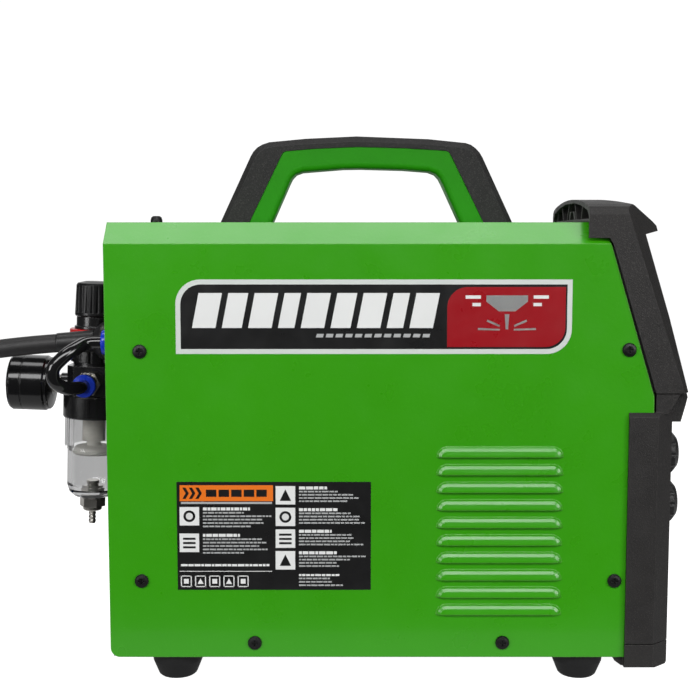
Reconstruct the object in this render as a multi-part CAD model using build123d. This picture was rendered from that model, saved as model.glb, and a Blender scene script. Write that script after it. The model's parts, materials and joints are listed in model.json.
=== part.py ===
from build123d import *
import math
import os

os.makedirs("parts", exist_ok=True)

# ----------------------------------------------------------------------
# Portable inverter plasma cutter. Millimetres, +Z up, +X to the control
# panel, +Y to the operator's left when facing the panel.
# The model is laid out about the middle of the sheet-metal case and is
# moved at the end so that its origin is the middle of its footprint.
# ----------------------------------------------------------------------

# driving dimensions: case
CASE_X0 = -177.5          # rear edge of the cover
CASE_X1 = 221.2           # front edge of the cover, low part
CASE_HW = 75.0            # half width over the cover
CASE_Z0 = 20.0            # underside of the case
CASE_Z1 = 341.0           # top of the case
CHAMFER = 15.5            # folded corner between side and top
SHEET = 1.5               # sheet steel
GAP = 0.3                 # assembly gap between nested sheets
SLANT_LOW = (221.2, 214.6)
SLANT_TOP = (188.2, 324.0)
TOP_X1 = 187.0            # front edge of the cover's roof

# driving dimensions: louvres
LOUVRES = 10
LOUVRE_PITCH = 13.08
LOUVRE_Z0 = 52.7          # open lip of the lowest louvre
LOUVRE_X0 = 63.5
LOUVRE_X1 = 155.7
LOUVRE_H = 7.6
LOUVRE_OUT = 3.0

# driving dimensions: fasteners
SCREW_HEAD_R = 5.1
SCREW_HEAD_H = 2.5
SCREW_R = 2.45            # M5
SIDE_SCREWS = [(-152.3, 247.8), (202.2, 249.0), (-153.5, 77.9),
               (-70.5, 31.0), (112.8, 31.2), (194.8, 78.0)]

# driving dimensions: bezel
BEZ_HW = 77.0             # half width of the upper bezel
LOW_HW = 78.0             # half width of the lower bezel
WALL = 2.7                # plastic wall

# driving dimensions: feet
FOOT_X = (-130.8, 172.5)
FOOT_Y = 52.0
FOOT_H = 20.0

# driving dimensions: filter regulator
FRL_X = -201.5
FRL_Y = 6.0
PORT_Z = 217.2
FRL_LEAN = 2.3            # the unit leans on its bracket, top towards the case

# driving dimensions: cables and hoses
CABLE_D = 14.2
HOSE_D = 10.0
CABLE_Y = -26.0
CABLE_Z = 251.2
GLAND_X = -195.4
COIL_X = -600.0           # middle of the stowed coil
COIL_R_IN = 70.0          # centre lines of its turns
COIL_R_OUT = 84.0
COIL_Z_TOP = 22.0         # height of the upper turns

parts = {}


# ----------------------------------------------------------------------
# helpers
# ----------------------------------------------------------------------
def face3(points):
    return Face(Wire.make_polygon([Vector(*p) for p in points], close=True))


def prism_y(pts, y0, y1):
    """outline in X,Z run along Y"""
    return Solid.extrude(face3([(x, y0, z) for x, z in pts]), Vector(0, y1 - y0, 0))


def prism_x(pts, x0, x1):
    """outline in Y,Z run along X"""
    return Solid.extrude(face3([(x0, y, z) for y, z in pts]), Vector(x1 - x0, 0, 0))


def prism_z(pts, z0, z1):
    """outline in X,Y run along Z"""
    return Solid.extrude(face3([(x, y, z0) for x, y in pts]), Vector(0, 0, z1 - z0))


def block(x0, x1, y0, y1, z0, z1):
    return prism_z([(x0, y0), (x1, y0), (x1, y1), (x0, y1)], z0, z1)


def lathe(pts, origin, direction):
    """(radius, height) outline turned about the line origin + direction"""
    f = face3([(r, 0, h) for r, h in pts])
    s = Solid.revolve(f, 360, Axis.Z)
    return Plane(origin=origin, z_dir=direction).location * s


def rod(origin, direction, r, h):
    return Plane(origin=origin, z_dir=direction).location * Solid.make_cylinder(r, h)


def ring(origin, direction, ro, ri, h):
    return lathe([(ri, 0), (ro, 0), (ro, h), (ri, h)], origin, direction)


def hexagon(origin, direction, af, h, turn=0.0):
    r = af / 2 / math.cos(math.pi / 6)
    pts = [(r * math.cos(math.radians(60 * i + turn)), r * math.sin(math.radians(60 * i + turn)))
           for i in range(6)]
    return Plane(origin=origin, z_dir=direction).location * prism_z(pts, 0, h)


def keep(name, *solids):
    """one node: the solids that are given, as separate bodies"""
    flat = []
    for s in solids:
        flat += list(s.solids())
    parts[name] = flat


def soften(shape, edges, r, what):
    """rounds the edges, or leaves them sharp where they are too short"""
    try:
        out = shape.fillet(r, edges)
        if out.is_valid and out.volume > 0:
            return out
    except Exception:
        pass
    print("left sharp:", what)
    return shape


def bevel(shape, edges, r, what):
    try:
        out = shape.chamfer(r, None, edges)
        if out.is_valid and out.volume > 0:
            return out
    except Exception:
        pass
    print("not bevelled:", what)
    return shape


X, Y, Z = (1, 0, 0), (0, 1, 0), (0, 0, 1)
NX, NY, NZ = (-1, 0, 0), (0, -1, 0), (0, 0, -1)

# ----------------------------------------------------------------------
# cover: inverted U of sheet steel with folded corners and louvres
# ----------------------------------------------------------------------


def case_outline(off, z_low):
    """the section of the case, off inside its outer face"""
    k = off * math.tan(math.radians(22.5))
    w, t = CASE_HW - off, CASE_Z1 - off
    return [(-w, z_low), (-w, CASE_Z1 - CHAMFER - k), (-(CASE_HW - CHAMFER - k), t),
            (CASE_HW - CHAMFER - k, t), (w, CASE_Z1 - CHAMFER - k), (w, z_low)]


outer = prism_x(case_outline(0, CASE_Z0), CASE_X0, CASE_X1)
inner = prism_x(case_outline(SHEET, CASE_Z0 - 5), CASE_X0 - 5, CASE_X1 + 5)
cover = outer - inner
# slanted front edge, and the roof that stops under the bezel's hood
cover = cover - prism_y([(SLANT_LOW[0], SLANT_LOW[1]), (SLANT_TOP[0], SLANT_TOP[1]), (TOP_X1, 327.0),
                         (TOP_X1, 360), (300, 360), (300, SLANT_LOW[1])], -100, 100)
# rounded lower rear corners of both sides
rc = 7.0
corner = block(CASE_X0 - 1, CASE_X0 + rc, -100, 100, CASE_Z0 - 1, CASE_Z0 + rc) - rod(
    (CASE_X0 + rc, -101, CASE_Z0 + rc), Y, rc, 202)
cover = cover - corner

hoods, voids = [], []
for side in (-1, 1):
    for i in range(LOUVRES):
        z = LOUVRE_Z0 + i * LOUVRE_PITCH
        y = CASE_HW

        def yz(pts):
            return [(side * (y + a), z + b) for a, b in pts]
        # straight middle, and a domed end on each side
        xa, xb = LOUVRE_X0 + LOUVRE_H, LOUVRE_X1 - LOUVRE_H
        hoods.append(prism_x(yz([(-0.4, 0), (-0.4, LOUVRE_H), (0.0, LOUVRE_H), (1.3, LOUVRE_H - 1.0), (2.4, LOUVRE_H - 3.2),
                                 (LOUVRE_OUT, 1.6), (LOUVRE_OUT, 0)]), xa, xb))
        voids.append(prism_x(yz([(-3, 0.0), (-3, LOUVRE_H - 2.2), (0.0, LOUVRE_H - 2.2), (1.0, LOUVRE_H - 3.6),
                                 (LOUVRE_OUT - 1.2, 1.4), (LOUVRE_OUT - 1.2, -0.6), (0.0, -0.6), (0.0, 0.0)]), xa, xb))
        for xc in (xa, xb):
            dome = lathe([(0, -0.4), (LOUVRE_H, -0.4), (LOUVRE_H, 0.0), (LOUVRE_H - 1.0, 1.3), (LOUVRE_H - 3.2, 2.4),
                          (1.6, LOUVRE_OUT), (0, LOUVRE_OUT)], (xc, side * y, z), (0, side, 0))
            half = block(LOUVRE_X0 - 1, xc, -90, 90, z, z + 20) if xc == xa else block(xc, LOUVRE_X1 + 1, -90, 90, z, z + 20)
            hoods.append(dome & half)
            hole = lathe([(0, -3), (LOUVRE_H - 2.2, -3), (LOUVRE_H - 2.2, 0.0), (LOUVRE_H - 3.6, 1.0),
                          (1.4, LOUVRE_OUT - 1.2), (0, LOUVRE_OUT - 1.2)], (xc, side * y, z), (0, side, 0))
            voids.append(hole & half)
cover = cover.fuse(*hoods)
cover = cover.cut(*voids)
# screw holes
holes = []
for x, z in SIDE_SCREWS:
    holes.append(rod((x, -100, z), Y, 2.8, 200))
TOP_SCREW_X = -150.8
holes.append(rod((TOP_SCREW_X, 0, 330), Z, 2.8, 20))
HANDLE_BOLTS = [(-84.0, -6.5), (-84.0, 6.5), (110.0, -6.5), (110.0, 6.5)]
for x, y in HANDLE_BOLTS:
    holes.append(rod((x, y, 330), Z, 2.8, 20))
cover = cover.cut(*holes)
keep("cover_shell", cover)

# ----------------------------------------------------------------------
# base tray: floor with upturned flanges inside the cover
# ----------------------------------------------------------------------
fi = CASE_HW - SHEET - GAP          # outer face of a flange inside the cover
tray = block(-173.2, 218.0, -fi, fi, CASE_Z0, CASE_Z0 + SHEET)
for s in (-1, 1):
    tray = tray + block(-173.2, 218.0, min(s * fi, s * (fi - SHEET)), max(s * fi, s * (fi - SHEET)),
                        CASE_Z0, 47.0)
tray = tray + block(-173.2, -171.7, -60, 60, CASE_Z0, 41.0)
tray = tray + block(216.5, 218.0, -60, 60, CASE_Z0, 44.0)
cuts = []
for x, z in SIDE_SCREWS:
    if z < 47:
        cuts.append(rod((x, -100, z), Y, SCREW_R + 0.05, 200))
for x in FOOT_X:
    for s in (-1, 1):
        cuts.append(rod((x, s * FOOT_Y, 10), Z, 2.6, 30))
for i in range(6):                   # air slots in the floor
    x = 92 + i * 10
    cuts.append(block(x, x + 4, -30, 30, 10, 30))
tray = tray.cut(*cuts)
keep("base_tray", tray)

# ----------------------------------------------------------------------
# rear panel: folded plate that carries the fan, switch, gland and air parts
# ----------------------------------------------------------------------
RP0, RP1 = -175.5, -174.0
off_o = SHEET + GAP


def panel_outline(off, z_low):
    return case_outline(off, z_low)


rear = prism_x(panel_outline(off_o, CASE_Z0 + 0.3), RP0, RP1)
flange = prism_x(panel_outline(off_o, 49.0), RP0, -138.0) - prism_x(panel_outline(off_o + SHEET, 40.0), RP0 - 1, -130.0)
rear = rear + flange
cuts = []
FAN_Y, FAN_Z, FAN_R = 22.0, 82.0, 37.0
for i in range(-4, 5):               # fan slots, clipped to the blade circle
    dz = i * 8.2
    half = math.sqrt(max(FAN_R ** 2 - (abs(dz) + 2.2) ** 2, 1))
    for a, b in ((-half, -1.6), (1.6, half)):
        if b - a > 4:
            cuts.append(block(RP0 - 1, RP1 + 1, FAN_Y + a, FAN_Y + b, FAN_Z + dz - 2.2, FAN_Z + dz + 2.2))
FAN_SCREWS = [(FAN_Y + a, FAN_Z + b) for a in (-35.75, 35.75) for b in (-35.75, 35.75)]
for y, z in FAN_SCREWS:
    cuts.append(rod((RP0 - 1, y, z), X, 2.15, 4))
BRACKET_SCREWS = [(FRL_Y - 9, 274.0), (FRL_Y + 9, 274.0)]
for y, z in BRACKET_SCREWS:
    cuts.append(rod((RP0 - 1, y, z), X, 2.05, 4))
BH_Y, BH_Z = -52.0, 252.4            # bulkhead fitting
cuts.append(rod((RP0 - 1, BH_Y, BH_Z), X, 7.3, 4))
cuts.append(rod((RP0 - 1, CABLE_Y, CABLE_Z), X, 10.1, 4))
SW_Y, SW_Z = 46.0, 262.0             # rocker switch 22 x 30
cuts.append(block(RP0 - 1, RP1 + 1, SW_Y - 11, SW_Y + 11, SW_Z - 15, SW_Z + 15))
for x, z in SIDE_SCREWS:
    if x < -100 and z > 49:
        cuts.append(rod((x, -100, z), Y, SCREW_R + 0.05, 200))
cuts.append(rod((TOP_SCREW_X, 0, 320), Z, SCREW_R + 0.05, 30))
rear = rear.cut(*cuts)
keep("rear_panel", rear)

# ----------------------------------------------------------------------
# upper bezel: slanted control nose with a hood over the roof's front edge
# ----------------------------------------------------------------------
# the slanted front line, from the chin to the brow
FA = Vector(248.4, 0, 213.3)
FB = Vector(216.4, 0, 332.5)
up = (FB - FA).normalized()
nrm = Vector(up.Z, 0, -up.X)                      # out of the panel
main_pts = [(171.3, 329.6), (186.4, 329.6), (189.3, 324.4), (222.1, 217.4), (247.3, 217.4),
            (234.2, 272.0), (216.6, 332.3), (232.0, 334.9), (231.0, 338.8), (226.6, 342.0), (207.0, 353.2), (198.0, 356.8), (188.0, 359.5),
            (171.3, 360.5)]
bez = prism_y(main_pts, -BEZ_HW, BEZ_HW)
# chin between the side walls
chin = prism_y([(230.2, 218.0), (237.0, 194.7), (243.9, 194.7), (247.2, 207.0), (248.6, 213.0), (247.3, 218.0)], -64, 64)
bez = bez + chin
# arched roof
arc_pts = []
sag, hw = 7.0, BEZ_HW
Rr = (hw * hw + sag * sag) / (2 * sag)
for i in range(0, 25):
    y = -hw + 2 * hw * i / 24
    z = 359.0 - Rr + math.sqrt(Rr * Rr - y * y)
    arc_pts.append((y, z))
crown = prism_x([(-hw, 150)] + [(-hw, 346.5), (-hw + 1.3, 350.0), (-hw + 4.4, 352.2)] + arc_pts[2:-2] +
                [(hw - 4.4, 352.2), (hw - 1.3, 350.0), (hw, 346.5), (hw, 150)], 100, 300)
bez = bez & crown
# corner planes between the side walls and the front
A = Vector(199.2, -77, 348.1)
B = Vector(242.3, -77, 219.1)
C = Vector(231.1, -60, 284.3)
for s in (-1, 1):
    a, b, c = [Vector(v.X, -s * v.Y, v.Z) for v in (A, B, C)]
    n = (b - a).cross(c - a).normalized()
    if n.X < 0:
        n = n * -1
    big = Plane(origin=(a + b) * 0.5, z_dir=n).location * Pos(0, 0, 100) * Solid.make_box(600, 600, 200, Plane(
        origin=(-300, -300, -100)))
    bez = bez - big
# cavity, open to the rear
dep = 8.0                                          # recess of the control panel
pw = 3.0                                           # its thickness


def along(pt, back, dz=0.0):
    v = pt - nrm * back
    return (v.X, v.Z)


def front_at(z, back):
    """X of the front line at height z, moved back along its normal"""
    t = (z - FA.Z) / (FB.Z - FA.Z)
    x = FA.X + (FB.X - FA.X) * t
    return x - back / nrm.X


cav = prism_y([(160, 195.0), (front_at(221.0, dep + pw), 221.0), (front_at(330, dep + pw), 330.0),
               (front_at(330, dep + pw) - 3, 336.0), (200.0, 349.0), (192.0, 352.5), (160, 353.0)],
              -BEZ_HW + WALL, BEZ_HW - WALL)
# under the arch the cavity follows the roof
arch_in = prism_x([(-BEZ_HW + WALL, 150), (-BEZ_HW + WALL, 345.0), (-68, 349.6), (-45, 353.6), (-20, 355.9), (20, 355.9),
                   (45, 353.6), (68, 349.6), (BEZ_HW - WALL, 345.0), (BEZ_HW - WALL, 150)], 100, 300)
cav_top = prism_y([(160, 300), (205, 300), (202.0, 351.0), (194.0, 354.5), (186.0, 356.4), (160, 356.6)],
                  -BEZ_HW + WALL, BEZ_HW - WALL)
cav = (cav + cav_top) & arch_in
# the chin is hollow too
bez = bez - cav
# keep the corner planes' walls: inside corners are filled back by a liner
liner = []
for s in (-1, 1):
    a, b, c = [Vector(v.X, -s * v.Y, v.Z) for v in (A, B, C)]
    n = (b - a).cross(c - a).normalized()
    if n.X < 0:
        n = n * -1
    slab = Plane(origin=(a + b) * 0.5 - n * 3.0, z_dir=n).location * Solid.make_box(600, 600, 3.0, Plane(
        origin=(-300, -300, 0)))
    slab = slab & (prism_y(main_pts, -BEZ_HW, BEZ_HW) & crown)
    slab = slab & block(150, 300, min(s * 50, s * 80), max(s * 50, s * 80), 218.0, 400)
    liner += list(slab.solids())
bez = bez.fuse(*liner)
# recessed control panel between two cheeks
rec = prism_y([(front_at(226, 0) + 30, 226), (front_at(226, dep), 226), (front_at(330.5, dep), 330.5),
               (front_at(330.5, 0) + 0.0, 333.0), (front_at(330.5, 0) + 40, 341)], -54, 54)
rec = rec - prism_y([(216.6, 332.3), (260, 339.6), (260, 400), (200, 400), (200, 332.3)], -60, 60)
bez = bez - rec
# tie ribs and cable arch under the hood, seen from behind
ribs = []
for y0, y1 in ((66, 61), (40, 47), (24, 13), (-15, -7), (-34, -41), (-70, -62)):
    ribs.append(prism_x([(y0 - 0.8, 343.0), (y0 + 0.8, 343.0), (y1 + 0.8, 358.5), (y1 - 0.8, 358.5)], 173.5, 190.0))
rib_clip = prism_x([(-75, 341.6), (-75, 349), (-68, 350.6), (-45, 354.6), (-20, 356.9), (20, 356.9), (45, 354.6),
                    (68, 350.6), (75, 349), (75, 341.6)], 170, 200)
sill = block(173.5, 190.0, -74.5, 74.5, 341.6, 343.6)
saddle = rod((173.5, 3, 341.6), X, 12.0, 16.5) & block(170, 200, -20, 20, 341.6, 350)
saddle = saddle - rod((173, 3, 341.6), X, 8.5, 18)
extra = [(r & rib_clip) for r in ribs] + [sill, saddle]
bez = bez.fuse(*extra)
# inner tongues that reach behind the cover's slanted edge, and screw lugs
lugs = []
for s in (-1, 1):
    ya, yb = sorted((s * 73.0, s * 70.6))
    lugs.append(prism_y([(185.0, 319.0), (216.3, 217.6), (226.5, 217.6), (226.5, 226.0), (194.0, 330.0), (189.8, 330.0), (189.8, 319.0)], ya, yb))
    yc, yd = sorted((s * 73.0, s * 75.0))
    lugs.append(prism_y([(190.0, 324.4), (222.8, 217.6), (226.5, 217.6), (226.5, 226.0), (193.5, 330.0)], yc, yd))
    ye, yf = sorted((s * 73.0, s * 64.0))
    lugs.append(block(196.5, 214.0, ye, yf, 243.0, 255.0))
bez = bez.fuse(*lugs)
cuts = [rod((202.2, -100, 249.0), Y, SCREW_R + 0.05, 200) & block(190, 220, -80, 80, 240, 260)]
# panel features: display opening, knob shaft, buttons, lenses
pc = (FA + FB) * 0.5 - nrm * dep
PANEL = Plane(origin=(pc.X, 0, pc.Z), x_dir=(0, 1, 0), z_dir=(nrm.X, 0, nrm.Z))


def on_panel(shape):
    return PANEL.location * shape


def pbox(u0, u1, v0, v1, w0, w1):
    return on_panel(prism_z([(u0, v0), (u1, v0), (u1, v1), (u0, v1)], w0, w1))


def prod(u, v, w0, r, h):
    return on_panel(Pos(u, v, w0) * Solid.make_cylinder(r, h))


KNOB_V = -19.0
DISP = (-20, 20, 22, 44)
BTN = [(-36.0, 4.0), (36.0, 4.0)]
LENS = [(-18.0, 12.0), (-6.0, 12.0), (6.0, 12.0), (18.0, 12.0)]
cuts.append(pbox(DISP[0], DISP[1], DISP[2], DISP[3], -6, 3))
cuts.append(prod(0, KNOB_V, -6, 3.6, 9))
for u, v in BTN:
    cuts.append(prod(u, v, -6, 5.1, 9))
for u, v in LENS:
    cuts.append(prod(u, v, -6, 1.6, 9))
bez = bez.cut(*cuts)
keep("front_bezel_upper", max(bez.solids(), key=lambda q: q.volume))
print("upper bezel solids:", len(bez.solids()))

# printed overlay on the recessed panel
ov = pbox(-50, 50, -44, 50, 0.0, 0.5)
cuts = [pbox(DISP[0] - 0.0, DISP[1] + 0.0, DISP[2], DISP[3], -1, 2), prod(0, KNOB_V, -1, 3.6, 3)]
for u, v in BTN:
    cuts.append(prod(u, v, -1, 5.1, 3))
for u, v in LENS:
    cuts.append(prod(u, v, -1, 1.6, 3))
ov = ov.cut(*cuts)
keep("control_overlay", ov)
# display window set in the opening
keep("display_window", pbox(DISP[0] + 0.15, DISP[1] - 0.15, DISP[2] + 0.15, DISP[3] - 0.15, -2.8, 0.4))
# four indicator lenses, one group
lens = []
for u, v in LENS:
    lens.append(on_panel(Pos(u, v, -3.0) * lathe([(0, 0), (1.5, 0), (1.5, 3.6), (1.1, 4.2), (0.5, 4.5), (0, 4.55)], (0, 0, 0), Z)))
keep("indicator_lenses", *lens)
# control board behind the panel
board = pbox(-48, 48, -40, 48, -9.6, -8.0)
board = board + prod(0, KNOB_V, -8.0, 7.0, 4.6)            # encoder can
for u, v in BTN:
    board = board + pbox(u - 3, u + 3, v - 3, v + 3, -8.0, -5.6)
board = board + pbox(-22, 22, 20, 46, -8.0, -4.0)
board = board - prod(0, KNOB_V, -7.4, 3.06, 10)
keep("control_pcb", board)
# current knob: skirted knob on its shaft, with a raised pointer
kn = [(0, 1.2), (17.6, 1.2), (17.6, 3.4), (15.2, 4.4), (14.2, 15.2), (13.2, 16.4), (0, 16.4)]
knob = on_panel(Pos(0, KNOB_V, 0) * lathe(kn, (0, 0, 0), Z))
flutes = []
for i in range(18):
    a = math.radians(20 * i + 10)
    flutes.append(on_panel(Pos(15.9 * math.cos(a), KNOB_V + 15.9 * math.sin(a), 4.6) * Solid.make_cylinder(1.2, 14)))
knob = knob.cut(*flutes)
knob = knob + pbox(-0.9, 0.9, KNOB_V + 4, KNOB_V + 13.0, 16.0, 17.2)
knob = knob + prod(0, KNOB_V, -6.9, 3.0, 9.0)
keep("current_knob", knob)
# two push buttons
for name, (u, v) in (("mode_button", BTN[0]), ("purge_button", BTN[1])):
    b = on_panel(Pos(u, v, 0) * lathe([(0, -4.2), (4.95, -4.2), (4.95, 2.2), (4.4, 2.8), (0, 3.0)], (0, 0, 0), Z))
    keep(name, b)

# ----------------------------------------------------------------------
# lower bezel: socket front, wraps the case's front edge
# ----------------------------------------------------------------------
LX0, LXC, LXF, LYF = 203.0, 224.0, 236.8, 67.0
LZ0, LZ1 = 31.0, 203.3


def low_outline(hw_, cx, fx, fy, x0):
    return [(x0, -hw_), (cx, -hw_), (fx, -fy), (fx, fy), (cx, hw_), (x0, hw_)]


low = prism_z(low_outline(LOW_HW, LXC, LXF, LYF, LX0), LZ0, LZ1)
# bevelled top edge of each side wall
for s in (-1, 1):
    low = low - prism_x([(s * (LOW_HW + 1), LZ1 - 4.6), (s * (LOW_HW + 1), LZ1 + 1), (s * (LOW_HW - 2.9), LZ1 + 1),
                         (s * (LOW_HW - 2.9), LZ1 + 0.02)], 180, 260)
# room for the chin
low = low - prism_y([(226.0, 205.0), (231.5, 194.2), (260, 194.2), (260, 210), (226.0, 210)], -66, 66)
# neck under the upper bezel
neck = prism_y([(222.9, 190.0), (224.6, 203.3), (229.6, 217.1), (222.9, 217.1)], -75.0, 75.0)
low = low + neck
# cheeks beside the chin
for s in (-1, 1):
    ya, yb = sorted((s * 64.6, s * 75.0))
    low = low + prism_y([(222.9, 202.0), (231.5, 202.0), (236.6, 210.0), (240.5, 217.1), (222.9, 217.1)], ya, yb)
# cavity
low = low - block(190, 222.5, -CASE_HW - GAP, CASE_HW + GAP, 0, 230)
low = low - prism_z([(200, -72), (222, -72), (234.0, -62.5), (234.0, 62.5), (222, 72), (200, 72)], LZ0 - 5, 190.5)
low = low - block(200, 226.0, -70, 70, 180, 214.5)
low = low - block(200, 228.5, -64, 64, 186.0, 191.4)
# screw lugs that reach in behind the cover
for s in (-1, 1):
    ya, yb = sorted((s * 73.0, s * 63.0))
    lug = block(188.0, 224.0, ya, yb, 71.0, 85.0)
    low = low + lug
    yc, yd = sorted((s * 73.0, s * 76.5))
    low = low + block(222.8, 226.0, yc, yd, 71.0, 85.0)
SOCK_Z = (161.0, 121.8)
cuts = [rod((194.8, -100, 78.0), Y, SCREW_R + 0.05, 200)]
cuts = [c & block(180, 215, -73.4, 73.4, 70, 90) for c in cuts]
cuts.append(rod((230, 0, SOCK_Z[0]), X, 11.05, 15))
cuts.append(rod((230, 0, SOCK_Z[1]), X, 11.05, 15))
cuts.append(rod((230, 30.0, SOCK_Z[0]), X, 4.55, 15))
low = low.cut(*cuts)
keep("front_bezel_lower", max(low.solids(), key=lambda q: q.volume))
print("lower bezel solids:", len(low.solids()))

# bottom trim of the front, with a lip under the case
TZ0, TZ1 = 12.6, 30.2
trim = prism_z(low_outline(LOW_HW, LXC, LXF, LYF, LX0), TZ0, TZ1)
trim = trim + prism_y([(196.6, 19.7), (203.5, 19.7), (203.5, 12.6), (201.8, 12.6), (196.9, 16.2)], -72.0, 72.0)
trim = trim - block(190, 222.5, -CASE_HW - GAP, CASE_HW + GAP, 19.7, 40)
trim = trim - prism_z([(204.5, -70), (221.4, -70), (233.6, -61), (233.6, 61), (221.4, 70), (204.5, 70)], 15.6, 40)
# bevelled lower edge
for s in (-1, 1):
    trim = trim - prism_x([(s * (LOW_HW + 1), TZ0 - 1), (s * (LOW_HW + 1), TZ0 + 3.2), (s * (LOW_HW - 2.2), TZ0 - 1)], 180, 260)
trim = trim - prism_y([(LXF + 1, TZ0 - 1), (LXF + 1, TZ0 + 2.6), (LXF - 2.0, TZ0 - 1)], -90, 90)
keep("base_trim", max(trim.solids(), key=lambda q: q.volume))
print("trim solids:", len(trim.solids()))

# ----------------------------------------------------------------------
# sockets on the front
# ----------------------------------------------------------------------
COL_R = 16.6
# black insulating collars, with grip facets
for name, zc, bore in (("torch_socket_collar", SOCK_Z[0], 9.05), ("work_socket_collar", SOCK_Z[1], 8.05)):
    col = lathe([(bore, 219.8), (11.0, 219.8), (11.0, 236.9), (COL_R, 236.9), (COL_R, 254.0), (COL_R - 1.0, 255.0), (COL_R - 4.4, 257.8),
                 (bore + 1.2, 257.8), (bore, 256.6)], (0, 0, zc), X)
    cut_ = []
    for i in range(12):
        a = math.radians(30 * i)
        cut_.append(rod((243.5, (COL_R + 1.0) * math.cos(a), zc + (COL_R + 1.0) * math.sin(a)), X, 2.1, 20))
    col = col.cut(*cut_)
    keep(name, col)
# torch socket: brass body with an M16 internal thread shown as its bore,
# and the small pilot arc socket beside it
tb = lathe([(0, 203.8), (9.0, 203.8), (9.0, 252.8), (7.1, 252.8), (7.1, 230.8), (2.5, 230.8), (2.5, 209.8), (0, 209.8)],
           (0, 0, SOCK_Z[0]), X)
pb = lathe([(2.05, 221.8), (4.5, 221.8), (4.5, 236.9), (6.6, 236.9), (6.6, 241.4), (5.8, 242.4), (2.05, 242.4)],
           (0, 30.0, SOCK_Z[0]), X)
keep("torch_socket", tb, pb)
# work clamp socket: 10-25 size, 9 mm bore with its key slot
wb = lathe([(0, 203.8), (8.0, 203.8), (8.0, 253.8), (4.6, 253.8), (4.6, 223.8), (0, 223.8)], (0, 0, SOCK_Z[1]), X)
wb = wb - block(225.8, 257.8, -2.1, 2.1, SOCK_Z[1], SOCK_Z[1] + 6.6)
keep("work_socket", wb)

# ----------------------------------------------------------------------
# handle: black outer shell with a coloured grip liner
# ----------------------------------------------------------------------
HZ0 = CASE_Z1 + 0.0
h_out = [(-100.0, HZ0), (-76.2, 391.8), (-74.0, 395.5), (-71.0, 398.6), (-67.0, 400.9), (-61.8, 402.6),
         (-34.0, 405.2), (5.0, 407.0), (60.0, 404.9), (88.6, 402.0), (92.7, 400.6), (96.3, 398.0),
         (99.3, 394.8), (101.6, 391.0), (125.2, HZ0)]
h_mid = [(-77.6, HZ0), (-52.2, 393.0), (-51.0, 394.6), (-49.0, 395.6), (-28.0, 397.4), (5.0, 398.8), (41.0, 397.9),
         (73.0, 396.0), (75.6, 395.0), (76.8, 393.2), (102.8, HZ0)]
h_in = [(-60.0, HZ0), (-46.6, 371.0), (-44.6, 375.0), (-41.6, 378.2), (-36.6, 380.0), (-5.0, 382.5), (8.0, 382.7),
        (41.0, 381.8), (60.4, 380.3), (65.6, 378.4), (68.6, 375.2), (71.0, 370.6), (84.8, HZ0)]
HYW = 15.0
BV = 4.2


def inset_top(pts, d):
    """moves an open outline towards its inside by d, its ends along the base"""
    out = []
    n = len(pts)
    for i, (x, z) in enumerate(pts):
        if i == 0:
            (x0, z0), (x1, z1) = pts[0], pts[1]
            dx, dz = x1 - x0, z1 - z0
            ll = math.hypot(dx, dz)
            out.append((x + d * ll / dz, z))
        elif i == n - 1:
            (x0, z0), (x1, z1) = pts[-2], pts[-1]
            dx, dz = x1 - x0, z1 - z0
            ll = math.hypot(dx, dz)
            out.append((x - d * ll / abs(dz), z))
        else:
            (xa, za), (xb, zb) = pts[i - 1], pts[i + 1]
            l1 = math.hypot(x - xa, z - za)
            l2 = math.hypot(xb - x, zb - z)
            t1 = ((x - xa) / l1, (z - za) / l1)
            t2 = ((xb - x) / l2, (zb - z) / l2)
            n1 = (t1[1], -t1[0])
            n2 = (t2[1], -t2[0])
            bx, bz = n1[0] + n2[0], n1[1] + n2[1]
            bl = math.hypot(bx, bz)
            bx, bz = bx / bl, bz / bl
            k = d / max(bx * n1[0] + bz * n1[1], 0.3)
            out.append((x + bx * k, z + bz * k))
    return out


shell = prism_y(h_out, -HYW + BV, HYW - BV)
tops = inset_top(h_out, BV)
for s in (-1, 1):
    w_a = Wire.make_polygon([Vector(x, s * (HYW - BV), z) for x, z in h_out], close=True)
    w_b = Wire.make_polygon([Vector(x, s * HYW, z) for x, z in tops], close=True)
    shell = shell + Solid.make_loft([w_a, w_b], ruled=True)
shell = shell - prism_y([(p[0], p[1]) if 0 < i < len(h_mid) - 1 else (p[0], p[1] - 0.0) for i, p in enumerate(h_mid)] +
                        [(h_mid[-1][0], HZ0 - 5), (h_mid[0][0], HZ0 - 5)], -40, 40)
# the legs of the shell stand on the cover; blind holes for the bolts
cuts = [rod((x, y, HZ0 - 1), Z, 2.55, 15) for x, y in HANDLE_BOLTS]
shell = shell.cut(*cuts)
keep("handle_shell", shell)
print("handle shell solids:", len(shell.solids()))
m2 = inset_top(h_mid, 0.15)
liner_ = prism_y(m2, -HYW + 0.8, HYW - 0.8) - prism_y(
    h_in + [(h_in[-1][0], HZ0 - 5), (h_in[0][0], HZ0 - 5)], -40, 40)
liner_ = max(liner_.solids(), key=lambda q: q.volume)
inner_edges = []
for e in liner_.edges():
    c = e.center()
    if abs(abs(c.Y) - (HYW - 0.8)) < 0.01 and c.Z > HZ0 + 1 and c.Z < 384 and -60.5 < c.X < 85.5:
        inside = min(math.hypot(c.X - (a[0] + b[0]) / 2, c.Z - (a[1] + b[1]) / 2)
                     for a, b in zip(h_in[:-1], h_in[1:], strict=True))
        if inside < 0.6:
            inner_edges.append(e)
print("grip edges:", len(inner_edges))
liner_ = soften(liner_, inner_edges, 4.0, "grip liner")
keep("handle_insert", liner_)
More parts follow.
